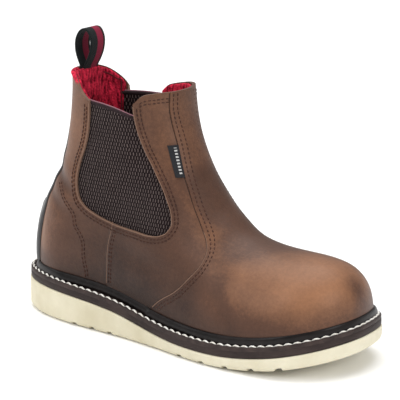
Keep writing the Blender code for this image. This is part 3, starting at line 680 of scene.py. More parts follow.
def sole_at(theta, inset):
    """The sole's outline, a distance inside its edge, at the thetas that the upper uses."""
    fine = np.linspace(0.0, math.pi, 1200)
    x = -SOLE_LENGTH / 2 * np.cos(fine)
    plan = set_out(sole_plan(x), -inset)
    turns = np.unwrap(np.arctan2(-plan[:, 1] / BALL_WIDTH, -plan[:, 0] / SOLE_LENGTH))
    order = np.argsort(turns % (2 * math.pi))
    turn, plan = (turns % (2 * math.pi))[order], plan[order]
    around = np.concatenate([turn - 2 * math.pi, turn, turn + 2 * math.pi])
    return np.stack([np.interp(theta, around, np.tile(plan[:, k], 3)) for k in (0, 1)], axis=1)


def at_foot(theta, height, out):
    """A line round the upper a height over the feather, a distance out of the leather."""

    def at(radius):
        x = -radius * UPPER_LENGTH / 2 * np.cos(theta)
        return x, -radius * UPPER_BALL_WIDTH / 2 * np.sin(theta), feather(x) + height

    low, high = np.full(theta.shape, 0.2), np.full(theta.shape, 1.6)
    x, y, z = at(crossing(low, high, lambda radius: upper_distance(*at(radius)) > 0, 26))
    edge = COLLAR_BACK + column((z - HEEL_FEATHER) / SHAFT_HEIGHT, VAMP_EDGE, 1) * COLLAR_LENGTH
    loop = set_out(np.stack([x, y], axis=1), out + VAMP_STEP * ramp(x, edge - 0.001, edge + 0.001))
    return np.column_stack([loop, feather(loop[:, 0]) + height])


def shelf(height, inset):
    loop = sole_at(WELT_TURNS, inset)
    return np.column_stack([loop, feather(loop[:, 0]) + CLEAR + height])


top = WELT_THICK + CLEAR
WELT_SECTION = (
    # height over the midsole, inset from the sole's edge: up the lip, then over the stitch groove
    (-CLEAR, 0.0060),
    (-CLEAR, WELT_INSET - 0.0002),
    (0.0004, WELT_INSET - 0.0003),
    (0.0020, WELT_INSET - 0.0003),
    (0.0027, WELT_INSET),
    (WELT_THICK, WELT_INSET + 0.0005),
    (WELT_THICK, 0.0020),
    (WELT_THICK - 0.0004, 0.0023),
    (WELT_THICK - 0.0006, 0.0034),
    (WELT_THICK - 0.0004, 0.0060),
    (WELT_THICK - 0.0004, 0.0080),
)
loops = [shelf(height, inset) for height, inset in WELT_SECTION]
count = len(WELT_TURNS)
piece("welt_strip", np.concatenate(loops), wound(len(loops), count), lip, "welt")

foot_line = at_foot(WELT_TURNS, 0.004, 0.0)[:, :2]
room = np.linalg.norm(foot_line[:, None] - sole_at(WELT_TURNS, 0.0)[None], axis=2).min(axis=1)
plump = np.clip((room - 0.0034) / 0.0031, 0.45, 1.0)
RIB_SECTION = (
    # height over the welt, distance out of the leather, in millimetres
    (-1.0, 2.6),
    (0.10, 2.9),
    (0.6, 3.1),
    (1.8, 3.0),
    (3.2, 2.7),
    (4.6, 2.2),
    (5.6, 1.7),
    (6.2, 1.1),
    (6.5, 0.6),
    (6.45, 0.1),
)
loops = [at_foot(WELT_TURNS, top + height / 1000, out / 1000 * plump) for height, out in RIB_SECTION]
loops.append(at_foot(WELT_TURNS, 0.001, 0.0))
piece("welt_rib", np.concatenate(loops), wound(len(loops), count), waxed, "welt", ["welt"])

# The lockstitch
# Thick waxed cream thread sewn down through the welt and the midsole, about 6.8 mm a stitch. Each
# stitch lies a little askew, and its ends dive into the holes.
thread, tree, shader = finish("waxed_thread", "#FBF7F0", 0.55, 1.5, Sheen_Weight=0.2)
place = mottle(tree, shader, ("#E6DFD3", "#FFFDF8"), 400.0)[0]
twist = node(tree, "ShaderNodeTexWave", {"Vector": place, "Scale": 900.0, "Distortion": 1.0})
bump(tree, shader, twist.outputs["Fac"], 0.0002, 0.4)
WELT_STITCH = 0.0068
THREAD = 0.00072


def along_line(line, spacing):
    """Evenly spaced points on a closed or open line, and its directions there."""
    steps = np.linalg.norm(np.diff(line, axis=0), axis=1)
    run = np.concatenate([[0.0], np.cumsum(steps)])
    number = max(2, int(round(run[-1] / spacing)))
    at = (np.arange(number) + 0.5) / number * run[-1]
    here = np.stack([np.interp(at, run, line[:, k]) for k in range(3)], axis=1)
    ahead = np.stack([np.interp(at + spacing * 0.2, run, line[:, k]) for k in range(3)], axis=1)
    behind = np.stack([np.interp(at - spacing * 0.2, run, line[:, k]) for k in range(3)], axis=1)
    way = ahead - behind
    return here, way / np.linalg.norm(way, axis=1, keepdims=True), run[-1] / number


def stitches(places, ways, normals, length, radius, askew, arch, sides=6, rings=7):
    """One rounded thread for each stitch: it bows out of the surface and dives in at both ends."""
    points, faces = [], []
    across = np.cross(normals, ways)
    turn = np.linspace(0, 2 * math.pi, sides, endpoint=False)
    for k in range(len(places)):
        first = len(points)
        for i in range(rings):
            s = i / (rings - 1)
            swell = math.sin(math.pi * (0.06 + 0.88 * s)) ** 0.5
            centre = places[k] + ways[k] * (s - 0.5) * length
            centre = centre + across[k] * askew * math.cos(math.pi * s)
            centre = centre + normals[k] * (arch * math.sin(math.pi * s) - radius * 0.4)
            for t in turn:
                points.append(centre + (across[k] * math.cos(t) + normals[k] * math.sin(t)) * radius * swell)
        for i in range(rings - 1):
            for j in range(sides):
                a, b = first + i * sides + j, first + i * sides + (j + 1) % sides
                faces.append((a, b, b + sides, a + sides))
        faces.append(tuple(range(first + sides - 1, first - 1, -1)))
        last = first + (rings - 1) * sides
        faces.append(tuple(range(last, last + sides)))
    return points, faces


line = shelf(WELT_THICK - 0.0001, 0.0028)
line = np.concatenate([line, line[:1]])
places, ways, pitch = along_line(line, WELT_STITCH)
normals = np.cross(np.stack([-ways[:, 1], ways[:, 0], np.zeros(len(ways))], axis=1), ways)
normals *= np.sign(normals[:, 2:3])
points, faces = stitches(places, ways, normals, pitch * 1.04, THREAD, 0.00060, 0.0009, 8, 9)
piece("welt_stitches", points, faces, thread, "welt")

# The quarters
# Oiled pull-up leather about 2.2 mm thick: the back and side panels, closed at the heel and cut out
# for the elastics. The front half of each laps over the rear half at a cut edge.
FRONT_LIFT = 0.0006
SIDE_SEAM = (
    # up, along
    (-0.02, 0.470),
    (0.05, 0.490),
    (0.14, 0.500),
    (0.20, 0.500),
    (0.25, 0.510),
    (0.30, 0.530),
    (0.60, 0.560),
    (1.10, 0.560),
)


def maths(tree, operation, *values):
    """The result of one operation on values or outputs."""
    return node(tree, "ShaderNodeMath", dict(enumerate(values)), operation=operation).outputs[0]


def pull_up_leather(name, dark, middle, light):
    """Waxed and oiled leather: dye that shifts with the pull, fine pores about 0.7 mm apart, small
    scuffs and a soft gloss. The burnish, with painted highlights and painted shade, is kept on the panel's
    own points."""
    made, tree, shader = finish(name, middle, 0.46, Coat_Weight=0.06, Specular_IOR_Level=0.25)
    shader.inputs["Coat Roughness"].default_value = 0.35
    place = node(tree, "ShaderNodeTexCoord").outputs["Object"]
    cloud = node(tree, "ShaderNodeTexNoise", {
        "Vector": place, "Scale": 26.0, "Detail": 7.0, "Roughness": 0.62, "Distortion": 0.5,
    })
    fleck = node(tree, "ShaderNodeTexNoise", {
        "Vector": place, "Scale": 420.0, "Detail": 5.0, "Roughness": 0.7,
    })
    burnish_and_painted_light = node(tree, "ShaderNodeAttribute", attribute_name="burnish_and_painted_light")
    tone = maths(tree, "MULTIPLY_ADD", cloud.outputs["Fac"], 0.38, -0.34)
    tone = maths(tree, "MULTIPLY_ADD", fleck.outputs["Fac"], 0.30, tone)
    # The points' burnish, with its painted highlights and painted shade, shifts the dye.
    tone = maths(tree, "ADD", burnish_and_painted_light.outputs["Fac"], tone)
    dye = node(tree, "ShaderNodeValToRGB", {"Fac": tone})
    dye.color_ramp.elements[0].position, dye.color_ramp.elements[0].color = 0.12, linear(dark)
    dye.color_ramp.elements[1].position, dye.color_ramp.elements[1].color = 0.98, linear(light)
    dye.color_ramp.elements.new(0.52).color = linear(middle)
    tree.links.new(dye.outputs["Color"], shader.inputs["Base Color"])
    gloss = node(tree, "ShaderNodeMapRange", {"Value": cloud.outputs["Fac"], "To Min": 0.58, "To Max": 0.36})
    tree.links.new(gloss.outputs[0], shader.inputs["Roughness"])
    pores = node(tree, "ShaderNodeTexVoronoi", {"Vector": place, "Scale": 1100.0})
    first = bump(tree, shader, pores.outputs["Distance"], 0.00025, 0.30)
    bump(tree, shader, fleck.outputs["Fac"], 0.0005, 0.35, first)
    return made


leather = pull_up_leather("pull_up_leather", "#2A1810", "#553829", "#986A4B")
edge = finish("cut_leather_edge", "#7D5F4D", 0.8)[0]
# Painted shadow: a dark finish for the line of shade behind the vamp's step.
painted_seam_shadow = finish("seam_shadow", "#20130E", 0.9)[0]

# Burnish and painted light over the last: lighter patches are partly the leather's burnish and
# partly painted highlights, and darker ones are partly darker dye and partly painted shade. The
# middle of each patch in space, its reach, and how much lighter it is.
BURNISH_AND_PAINTED_LIGHT = (
    # x, y, z, reach, lighter
    (0.135, -0.010, 0.058, 0.040, 0.34),
    (0.085, -0.030, 0.070, 0.035, 0.20),
    (0.118, -0.040, 0.058, 0.028, 0.14),
    (0.040, -0.025, 0.085, 0.032, 0.12),
    (0.141, 0.002, 0.061, 0.010, -0.24),
    (0.145, 0.004, 0.050, 0.013, -0.08),
    (-0.135, -0.020, 0.080, 0.030, 0.24),
    (-0.100, -0.030, 0.160, 0.035, 0.26),
    (-0.128, -0.028, 0.055, 0.018, 0.10),
    (-0.060, -0.045, 0.060, 0.034, -0.24),
    (-0.015, -0.045, 0.055, 0.034, -0.22),
    (0.020, -0.045, 0.035, 0.025, -0.12),
    (0.000, -0.030, 0.140, 0.035, 0.06),
    (0.010, -0.015, 0.175, 0.026, 0.12),
    (0.060, 0.045, 0.050, 0.040, 0.12),
    (-0.030, 0.045, 0.060, 0.040, -0.10),
)


def points_of(made):
    where = np.empty(len(made.data.vertices) * 3)
    made.data.vertices.foreach_get("co", where)
    return where.reshape(-1, 3)


def paint(made):
    """Burnish and painted highlights of a leather piece, kept on its points, with painted shade low
    down by the welt and in the troughs of the creases.
    """
    where = points_of(made)
    value = np.full(len(where), 0.50)
    for x, y, z, reach, lighter in BURNISH_AND_PAINTED_LIGHT:
        value += lighter * np.exp(-((where - (x, y, z)) ** 2).sum(axis=1) / reach ** 2)
    # Painted shade: darker low down by the welt, where the rib shades the leather.
    value -= 0.20 * (1 - ramp(where[:, 2] - feather(where[:, 0]), 0.008, 0.034))
    # Painted shade: darker in the troughs of the creases.
    value -= 260.0 * np.minimum(-relief(where), 0.0006) * (relief(where) < 0)
    layer = made.data.attributes.new("burnish_and_painted_light", "FLOAT", "POINT")
    layer.data.foreach_set("value", value.astype(np.float32))


def seam_theta(level, side):
    """Theta where a ring crosses the seam between the two halves of a quarter."""
    return edge_theta(SIDE_SEAM, level, side, np.linspace(math.radians(12), math.radians(150), 200))


LEVELS = np.concatenate([np.linspace(0.0, 0.12, 16), np.linspace(0.13, 1.0, 84)])
UNDERLAP = 0.004
thetas = []
for level in LEVELS:
    inner_edge = vamp_theta(level, 1, UNDERLAP)
    outer_edge = vamp_theta(level, -1, UNDERLAP) + 2 * math.pi
    inner_seam, outer_seam = seam_theta(level, 1), seam_theta(level, -1) + 2 * math.pi
    thetas.append(np.concatenate([
        np.linspace(inner_edge, inner_seam - 0.016, 26), [inner_seam - 0.006, inner_seam],
        np.linspace(inner_seam + 0.004, outer_seam - 0.004, 80),
        [outer_seam, outer_seam + 0.006], np.linspace(outer_seam + 0.016, outer_edge, 26),
    ]))
lift = np.concatenate([np.full(26, FRONT_LIFT), [FRONT_LIFT * 0.8, FRONT_LIFT * 0.3], np.zeros(80)])
lift = np.concatenate([lift, lift[26:28][::-1], np.full(26, FRONT_LIFT)])
thetas = np.array(thetas)
levels = np.repeat(LEVELS[:, None], thetas.shape[1], axis=1)
outer = skin(levels, thetas, lift[None, :])
inner = skin(levels, thetas, -LEATHER)
quarters = sheet("quarters", outer, inner, leather, slot="upper", replaces=["upper"])
quarters.data.materials.append(edge)


def gore_outline(grow, side, count=150):
    """The cut-out seen from the side, grown by a distance, as x and z."""
    line = path(GORE_EDGE, count)
    x = COLLAR_BACK + lean(line[:, 0], line[:, 1], side) * COLLAR_LENGTH
    line = np.stack([x, HEEL_FEATHER + line[:, 1] * SHAFT_HEIGHT], axis=1)
    way = np.gradient(line, axis=0)
    way /= np.linalg.norm(way, axis=1, keepdims=True)
    return line + np.stack([way[:, 1], -way[:, 0]], axis=1) * grow


def cut_gores(made, grow, rim):
    """Cuts both openings for the elastics out of a piece."""
    for side in (-1, 1):
        line = gore_outline(grow, side)
        count = len(line)
        points = [(x, side * y, z) for y in (0.004, 0.080) for x, z in line]
        faces = [tuple(range(count)), tuple(range(2 * count - 1, count - 1, -1))] + wound(2, count)
        mesh = bpy.data.meshes.new("knife")
        mesh.from_pydata(points, [], faces)
        shape = bmesh.new()
        shape.from_mesh(mesh)
        bmesh.ops.recalc_face_normals(shape, faces=shape.faces)
        shape.to_mesh(mesh)
        shape.free()
        mesh.materials.append(rim)
        knife = bpy.data.objects.new("knife", mesh)
        bpy.context.scene.collection.objects.link(knife)
        modifier = made.modifiers.new("gore", "BOOLEAN")
        modifier.operation, modifier.solver, modifier.object = "DIFFERENCE", "EXACT", knife
        modifier.material_mode = "TRANSFER"
        graph = bpy.context.evaluated_depsgraph_get()
        cut = bpy.data.meshes.new_from_object(made.evaluated_get(graph))
        made.modifiers.remove(modifier)
        made.data = cut
        bpy.data.objects.remove(knife)
    made.data.set_sharp_from_angle(angle=math.radians(40))


cut_gores(quarters, 0.0, edge)
paint(quarters)

# The vamp
# The front panel, from the toe over the instep to the front of the collar. It is cut in one piece
# and laps over the quarters with a folded edge and two rows of stitching.
thetas = []
steps = np.array([0.0, 0.0016, 0.0050])
for level in LEVELS:
    outer_edge, inner_edge = vamp_theta(level, -1), vamp_theta(level, 1)
    middle = np.linspace(outer_edge + 0.012, inner_edge - 0.012, 150)
    thetas.append(np.concatenate([outer_edge + steps, middle, inner_edge - steps[::-1]]))
thetas = np.array(thetas)
levels = np.repeat(LEVELS[:, None], thetas.shape[1], axis=1)
lift = np.full(thetas.shape[1], VAMP_STEP)
lift[:3] = (0.0004, 0.0009, 0.0012)
lift[-3:] = (0.0012, 0.0009, 0.0004)
outer = skin(levels, thetas, lift[None, :])
inner = skin(levels, thetas, -0.0010)
vamp = sheet("vamp", outer, inner, leather, slot="upper")
paint(vamp)

# The cut edges
# Where the leather's edges are left raw, their pale core shows as a thin line.
def bead(name, line, radius, finish, slot, closed=False, sides=6):
    """A thin round bead along a line."""
    way = np.gradient(line, axis=0)
    way /= np.linalg.norm(way, axis=1, keepdims=True)
    a = np.cross(way, (0.3, 1.0, 0.2))
    a /= np.linalg.norm(a, axis=1, keepdims=True)
    b = np.cross(way, a)
    turn = np.linspace(0, 2 * math.pi, sides, endpoint=False)
    spokes = a[:, None] * np.cos(turn)[None, :, None] + b[:, None] * np.sin(turn)[None, :, None]
    loops = line[:, None, :] + radius * spokes
    faces = wound(len(line), sides, closed)
    if not closed:
        faces += [tuple(range(sides)), tuple(range((len(line) - 1) * sides, len(line) * sides))]
    return piece(name, loops.reshape(-1, 3), faces, finish, slot)


def below_collar(line, side, by=0.0004):
    """The part of a side line that lies under the collar's edge."""
    return line[line[:, 1] < collar_height(line[:, 0], side * COLLAR_WIDTH / 2) - by]


def by_seam(table, side, ahead=0.0, low=0.012):
    """A seam's line seen from the side, as x and z from the welt up to the collar, moved ahead by a
    distance over the leather."""
    rows = np.array(table)
    up = np.linspace(rows[0, 0], rows[-1, 0], 400)
    x = COLLAR_BACK + column(up, table, 1) * COLLAR_LENGTH
    line = np.stack([x, HEEL_FEATHER + up * SHAFT_HEIGHT], axis=1)
    way = np.gradient(line, axis=0)
    way /= np.linalg.norm(way, axis=1, keepdims=True)
    _, normal = on_side(line[:, 0], line[:, 1], side)
    along = ahead * np.abs(normal[:, 1]) / np.maximum(np.hypot(normal[:, 0], normal[:, 1]), 1e-6)
    line = line + np.stack([way[:, 1], -way[:, 0]], axis=1) * along[:, None]
    return below_collar(line[line[:, 1] > feather(line[:, 0]) + low], side)


LAP_AT = 0.53
EDGE_RADIUS = 0.00036


def front_lift(line):
    """How far the leather stands up on a side line: its front half laps over the rear half."""
    return FRONT_LIFT * (line[:, 0] > COLLAR_BACK + LAP_AT * COLLAR_LENGTH)


for side, word in ((-1, "outer"), (1, "inner")):
    gore_line = below_collar(gore_outline(0.0, side, 220), side)
    vamp_line = by_seam(VAMP_EDGE, side)
    vamp_line = vamp_line[vamp_line[:, 1] < 0.090]
    seam_line = by_seam(SIDE_SEAM, side)
    seam_line = seam_line[seam_line[:, 1] < HEEL_FEATHER + 0.345 * SHAFT_HEIGHT]
    for name, line, lift, radius, made_of in (
        ("gore_edge_", gore_line, front_lift(gore_line) - 0.0001, EDGE_RADIUS, edge),
        # The second bead is painted shadow: a dark line laid just behind the vamp's edge, where its step
        # shades the quarter.
        ("vamp_painted_shadow_", by_seam(VAMP_EDGE, side, -0.0005), FRONT_LIFT - 0.0001, 0.00034, painted_seam_shadow),
        ("vamp_edge_", vamp_line, 0.0009, EDGE_RADIUS, edge),
        ("side_edge_", seam_line, 0.0002, 0.00030, edge),
    ):
        bead(name + word, on_side(line[:, 0], line[:, 1], side, lift)[0], radius, made_of, "upper")

# The seams
# Brown bonded thread, about 3.4 mm a stitch: two rows round each elastic, on the vamp, in front of
# the side seam, along the collar and round the heel's counter.
brown_thread, tree, shader = finish("brown_bonded_thread", "#3C2118", 0.55, Specular_IOR_Level=0.25)
mottle(tree, shader, ("#2C1812", "#4C2C20"), 500.0)
COUNTER = (
    # x, z
    (-0.1055, 0.1084),
    (-0.1000, 0.1019),
    (-0.0961, 0.0964),
    (-0.0912, 0.0916),
    (-0.0871, 0.0873),
    (-0.0846, 0.0774),
    (-0.0807, 0.0724),
    (-0.0777, 0.0668),
    (-0.0771, 0.0551),
    (-0.0746, 0.0431),
    (-0.0743, 0.0390),
)
STITCH = 0.0034
SEAM_THREAD = 0.00046


def seam_row(line, side, lift):
    """Places, ways and normals for a row of stitches along a line seen from one side."""
    places, ways, pitch = along_line(on_side(line[:, 0], line[:, 1], side, lift)[0], STITCH)
    return places, ways, normals_at(places), pitch


rows = []
for side in (-1, 1):
    for grow in (0.0023, 0.0047):
        line = gore_outline(grow, side, 240)
        line = below_collar(line, side, 0.004)
        rows.append(seam_row(line, side, 0.00025 + front_lift(line)))
    for ahead in (0.0024, 0.0050):
        lift = VAMP_STEP + (0.0001 if side < 0 else -0.0003)
        rows.append(seam_row(by_seam(VAMP_EDGE, side, ahead), side, lift))
    for ahead in (0.0022, 0.0044):
        line = by_seam(SIDE_SEAM, side, ahead)
        rows.append(seam_row(line[line[:, 1] < HEEL_FEATHER + 0.31 * SHAFT_HEIGHT], side, FRONT_LIFT))
    for shift in (0.0, 0.0024):
        line = path(COUNTER, 120)
        rows.append(seam_row(line + (-shift, -shift * 0.4), side, 0.0001))
turn = np.linspace(math.radians(60), math.radians(300), 700)
for level in (0.973, 0.958):
    line = skin(np.full_like(turn, level), turn, VAMP_STEP * 0.45)
    places, ways, pitch = along_line(line[line[:, 0] > -0.0255], STITCH)
    rows.append((places, ways, normals_at(places), pitch))
points, faces = [], []
for places, ways, normals, pitch in rows:
    more, these = stitches(places, ways, normals, pitch * 0.80, SEAM_THREAD, 0.0, 0.00034, 5, 5)
    faces += [tuple(len(points) + k for k in face) for face in these]
    points += more
piece("leather_stitches", points, faces, brown_thread, "upper")

# The elastics
# Woven elastic webbing set behind both openings. Its short raised ribs are staggered, 3 mm long with
# the columns 1.2 mm apart, and its top edge is bound, with a paler line over the binding.
RIB_PITCH = 0.0023
DASH_PITCH = 0.0060
SWAY = 0.0022


def weave_map(tree):
    """The flat map of a woven piece, and its two directions."""
    flat = node(tree, "ShaderNodeUVMap", uv_map="weave").outputs["UV"]
    split = node(tree, "ShaderNodeSeparateXYZ", {"Vector": flat})
    return flat, split.outputs["X"], split.outputs["Y"]


def wave(tree, value, pitch, operation="COSINE"):
    """A wave along a value, with its pitch in the value's own units."""
    return maths(tree, operation, maths(tree, "MULTIPLY", value, 2 * math.pi / pitch))


def lay_map(made, flat):
    """Gives a woven piece its flat map, a row for each point."""
    layer = made.data.uv_layers.new(name="weave")
    corner = np.empty(len(made.data.loops), int)
    made.data.loops.foreach_get("vertex_index", corner)
    layer.data.foreach_set("uv", np.asarray(flat, np.float32)[corner].ravel())


elastic, tree, shader = finish("woven_elastic", "#2A1E1F", 0.85, 1.45, Sheen_Weight=0.05)
shader.inputs["Sheen Roughness"].default_value = 0.4
shader.inputs["Specular IOR Level"].default_value = 0.15
flat, across, up = weave_map(tree)
jitter = node(tree, "ShaderNodeTexNoise", {"Vector": flat, "Scale": 150.0, "Detail": 2.0})
across = maths(tree, "MULTIPLY_ADD", jitter.outputs["Fac"], SWAY, across)
rows = node(tree, "ShaderNodeMapRange", {
    "Value": wave(tree, up, DASH_PITCH), "From Min": -0.45, "From Max": 0.45, "To Min": -1.0,
})
dash = maths(tree, "MULTIPLY", wave(tree, across, RIB_PITCH), rows.outputs[0])
worn = node(tree, "ShaderNodeTexNoise", {"Vector": flat, "Scale": 60.0, "Detail": 4.0})
light = maths(tree, "MULTIPLY_ADD", worn.outputs["Fac"], 0.3, dash)
light = node(tree, "ShaderNodeMapRange", {"Value": light, "From Min": 0.2, "From Max": 1.15})
weave = node(tree, "ShaderNodeValToRGB", {"Fac": light.outputs[0]})
for stop, at, colour in zip(weave.color_ramp.elements, (0.30, 1.00), ("#191011", "#675A57")):
    stop.position, stop.color = at, linear(colour)
tree.links.new(weave.outputs["Color"], shader.inputs["Base Color"])
bump(tree, shader, dash, 0.0006, 0.7)
binding, tree, shader = finish("elastic_binding", "#24171A", 0.75, Specular_IOR_Level=0.2)
mottle(tree, shader, ("#1C1214", "#2F2023"), 300.0)
binding_top_line = finish("elastic_binding_top_line", "#80545E", 0.7)[0]
GORE_THICK = 0.0016
GORE_LAP = 0.0060
GORE_TOP = (
    # x, z of the outer one's sloping top edge
    (-0.0780, 0.1772),
    (-0.0690, 0.1767),
    (-0.0573, 0.1758),
    (-0.0477, 0.1742),
    (-0.0400, 0.1721),
    (-0.0296, 0.1687),
    (-0.0220, 0.1660),
)
OUTER_GORE_FRONT = 0.1668
INNER_GORE_TOP = 0.1716
GORE_FOOT = (
    # share of the way to the front, z of the bottom edge
    (0.00, 0.0885),
    (0.35, 0.0790),
    (0.70, 0.0735),
    (1.00, 0.0765),
)

for side, word in ((-1, "outer"), (1, "inner")):
    closed = gore_outline(GORE_LAP, side, 400)
    split_at = int(np.argmin(closed[:, 1]))
    back, front = closed[:split_at + 1][::-1], closed[split_at:]
    back_foot, front_foot = GORE_FOOT[0][1], GORE_FOOT[-1][1]
    back_top, front_top = INNER_GORE_TOP, INNER_GORE_TOP
    if side < 0:
        back_top, front_top = GORE_TOP[0][1], OUTER_GORE_FRONT
    across = np.linspace(0, 1, 60)
    bottom = np.interp(across, *np.array(GORE_FOOT).T)
    grid = []
    for s in np.linspace(0, 1, 90):
        x_back = np.interp(back_foot + (back_top - back_foot) * s, back[:, 1], back[:, 0])
        x_front = np.interp(front_foot + (front_top - front_foot) * s, front[:, 1], front[:, 0])
        x = x_back + (x_front - x_back) * across
        top = np.interp(x, *np.array(GORE_TOP).T) if side < 0 else front_top
        grid.append(np.stack([x, bottom + (top - bottom) * s], axis=1))
    grid = np.array(grid)
    base = side_point(grid[..., 0], grid[..., 1], side)
    normal = normals_at(base)
    outer = base - normal * (LEATHER + CLEAR)
    inner = outer - normal * GORE_THICK
    gore = sheet("gore_" + word + "_weave", outer, inner, elastic, slot="gore", replaces=["gore_" + word])
    lay_map(gore, points_of(gore)[:, (0, 2)])
    rim = outer[-1] - normal[-1] * GORE_THICK / 2
    bead("gore_" + word + "_binding", rim - (0, 0, 0.0006), 0.0015, binding, "gore", sides=8)
    # A paler pinkish bead along the top of the binding.
    bead("gore_" + word + "_binding_top_line", rim + (0, 0, 0.0009), 0.0006, binding_top_line, "gore", sides=6)

# The knit lining
# Red brushed knit inside the leather panels, turned in at the collar with a dark seam below its
# edge, and rolled over the leather beside the pull loop. The elastics are left bare inside.
fleece, tree, shader = finish("brushed_red_knit", "#A3182B", 0.95, 1.45, Sheen_Weight=0.02)
shader.inputs["Sheen Roughness"].default_value = 0.5
shader.inputs["Specular IOR Level"].default_value = 0.1
place, noise = mottle(tree, shader, ("#60061A", "#E83350"), 1.0, 5.0, (0.36, 0.62))
streaks = node(tree, "ShaderNodeMapping", {"Vector": place, "Scale": (420, 420, 120)})
tree.links.new(streaks.outputs[0], noise.inputs["Vector"])
loft = node(tree, "ShaderNodeTexVoronoi", {"Vector": place, "Scale": 620.0})
first = bump(tree, shader, noise.outputs["Fac"], 0.0012, 0.8)
bump(tree, shader, loft.outputs["Distance"], 0.0009, 0.8, first)
LINING = 0.0026
theta = np.linspace(0, 2 * math.pi, 260, endpoint=False)
lining_levels = np.concatenate([np.linspace(0.06, 0.92, 60), np.linspace(0.93, 0.985, 9)])
grid = [skin(np.full_like(theta, level), theta, -LEATHER - 0.0001) for level in lining_levels]


def round_loop(points):
    """How far the lining stands in at the back, where it covers the feet of the pull loop."""
    near = 1 - ramp(np.abs(points[..., 1]), 0.0080, 0.0190)
    return 0.0040 * near * (points[..., 0] < COLLAR_MIDDLE) * ramp(points[..., 2], 0.160, 0.174)


fold = []
for depth, level in ((0.0006, 0.9925), (0.0014, 0.9955), (0.0021, 0.9935), (0.0025, 0.9895)):
    edge_line = ring(np.full_like(theta, level), theta)
    cover = round_loop(edge_line) * depth / LINING
    fold.append(skin(np.full_like(theta, level), theta, -LEATHER - depth - cover))
rng = np.random.default_rng(7)
inside = []
for level in lining_levels[::-1]:
    band = 0.0007 * np.exp(-((level - 0.93) / 0.012) ** 2)
    cover = round_loop(ring(np.full_like(theta, level), theta))
    pile = rng.normal(0.0, 0.00012, len(theta)) * (cover < 1e-6)
    inside.append(skin(np.full_like(theta, level), theta, -LEATHER - LINING + band + pile - cover))
loops = grid + fold + inside
count = len(theta)
lining = piece("knit_lining", np.concatenate(loops), wound(len(loops), count, True), fleece, "upper")
cut_gores(lining, 0.0012, fleece)
seam = finish("dark_red_seam", "#5C0B18", 0.9)[0]
turn = np.linspace(-math.radians(80), math.radians(80), 400)
line = skin(np.full_like(turn, 0.972), turn, -LEATHER - LINING)
line = line[line[:, 0] < np.where(line[:, 1] < 0, -0.0745, -0.0895)]
down = np.linspace(line[0, 2] - 0.001, 0.150, 30)
wall = on_side(np.full_like(down, -0.0895), down, 1, -LEATHER - LINING)[0]
bead("lining_seam", np.concatenate([wall[::-1], line]), 0.0006, seam, "upper")
turn = np.linspace(math.radians(6), math.radians(60), 90)
swell = 0.0021 * np.sin(np.linspace(0.12, math.pi - 0.05, 90)) ** 0.6
line = skin(np.full_like(turn, 0.992), turn, -LEATHER * 0.45)
bead("lining_roll", line, swell[:, None, None], fleece, "upper", sides=10)

# The back stay
# A moulded black rubber strip up the heel, thick at the kick where the boot is pushed off, with a
# half-gloss skin.
moulded, tree, shader = finish("moulded_black_rubber", "#2A2728", 0.38, 1.52, Specular_IOR_Level=0.35)
place = mottle(tree, shader, ("#131112", "#2B2929"), 60.0)[0]
grain = node(tree, "ShaderNodeTexNoise", {"Vector": place, "Scale": 900.0})
bump(tree, shader, grain.outputs["Fac"], 0.0002, 0.3)
STAY_THICK = 0.0014
STAY_KICK = 0.0030
STAY_WIDTH = 0.0420
STAY = (
    # up, half width, kick
    (0.000, 0.56, 0.30),
    (0.090, 0.56, 0.75),
    (0.160, 0.55, 1.00),
    (0.240, 0.52, 0.95),
    (0.330, 0.48, 0.45),
    (0.400, 0.45, 0.10),
    (0.500, 0.42, 0.00),
    (0.700, 0.38, 0.00),
    (0.850, 0.36, 0.00),
    (0.975, 0.35, 0.00),
)
up = np.linspace((WELT_THICK + RIB_HEIGHT + 0.0004) / SHAFT_HEIGHT, STAY[-1][0], 90)
across = np.linspace(-1, 1, 41)
half = column(up, STAY, 1) * STAY_WIDTH
kick = column(up, STAY, 2) * STAY_KICK
y = across[None, :] * half[:, None]
base = back_point(y, np.repeat((HEEL_FEATHER + up * SHAFT_HEIGHT)[:, None], len(across), axis=1))
normal = normals_at(base)
crown = 1 - np.abs(across[None, :]) ** 5
thick = STAY_THICK * (0.15 + 0.85 * crown ** 0.5) + kick[:, None] * crown
base[..., 2] += CLEAR
inner = base + normal * relief(base)[..., None]
outer = inner + normal * (thick[..., None] + CLEAR)
sheet("heel_stay", outer, inner + normal * 0.0001, moulded, slot="back_stay", replaces=["back_stay"])

# The pull loop
# Woven webbing 17 mm wide: charcoal, red and black stripes along it, its ends sewn in behind the
# collar.
LOOP_WIDTH = 0.0170
LOOP_HEIGHT = 0.0300
LOOP_DEPTH = 0.0150
LOOP_TAIL = 0.0180
WEBBING = 0.0018
PICK = 0.0013
LOOP_PATH = (
    # forward, up
    (-0.08, 0.02),
    (-0.24, 0.18),
    (-0.40, 0.42),
    (-0.40, 0.66),
    (-0.20, 0.88),
    (0.10, 0.98),
    (0.42, 0.92),
    (0.58, 0.72),
    (0.54, 0.48),
    (0.36, 0.24),
    (0.10, 0.02),
)
webbing, tree, shader = finish("striped_webbing", "#2B2B2D", 0.85, 1.45, Sheen_Weight=0.05)
shader.inputs["Specular IOR Level"].default_value = 0.15
flat, across, along = weave_map(tree)
stripes = node(tree, "ShaderNodeValToRGB", {"Fac": across})
stripes.color_ramp.interpolation = "CONSTANT"
stripes.color_ramp.elements[0].color = linear("#1B2021")
stripes.color_ramp.elements[1].position = 0.84
stripes.color_ramp.elements[1].color = linear("#151213")
stripes.color_ramp.elements.new(0.44).color = linear("#93203F")
knot = maths(tree, "MULTIPLY", wave(tree, along, PICK, "SINE"), wave(tree, across, 1 / 12, "SINE"))
shade = node(tree, "ShaderNodeMapRange", {"Value": knot, "From Min": -1.0, "To Min": 0.62, "To Max": 1.0})
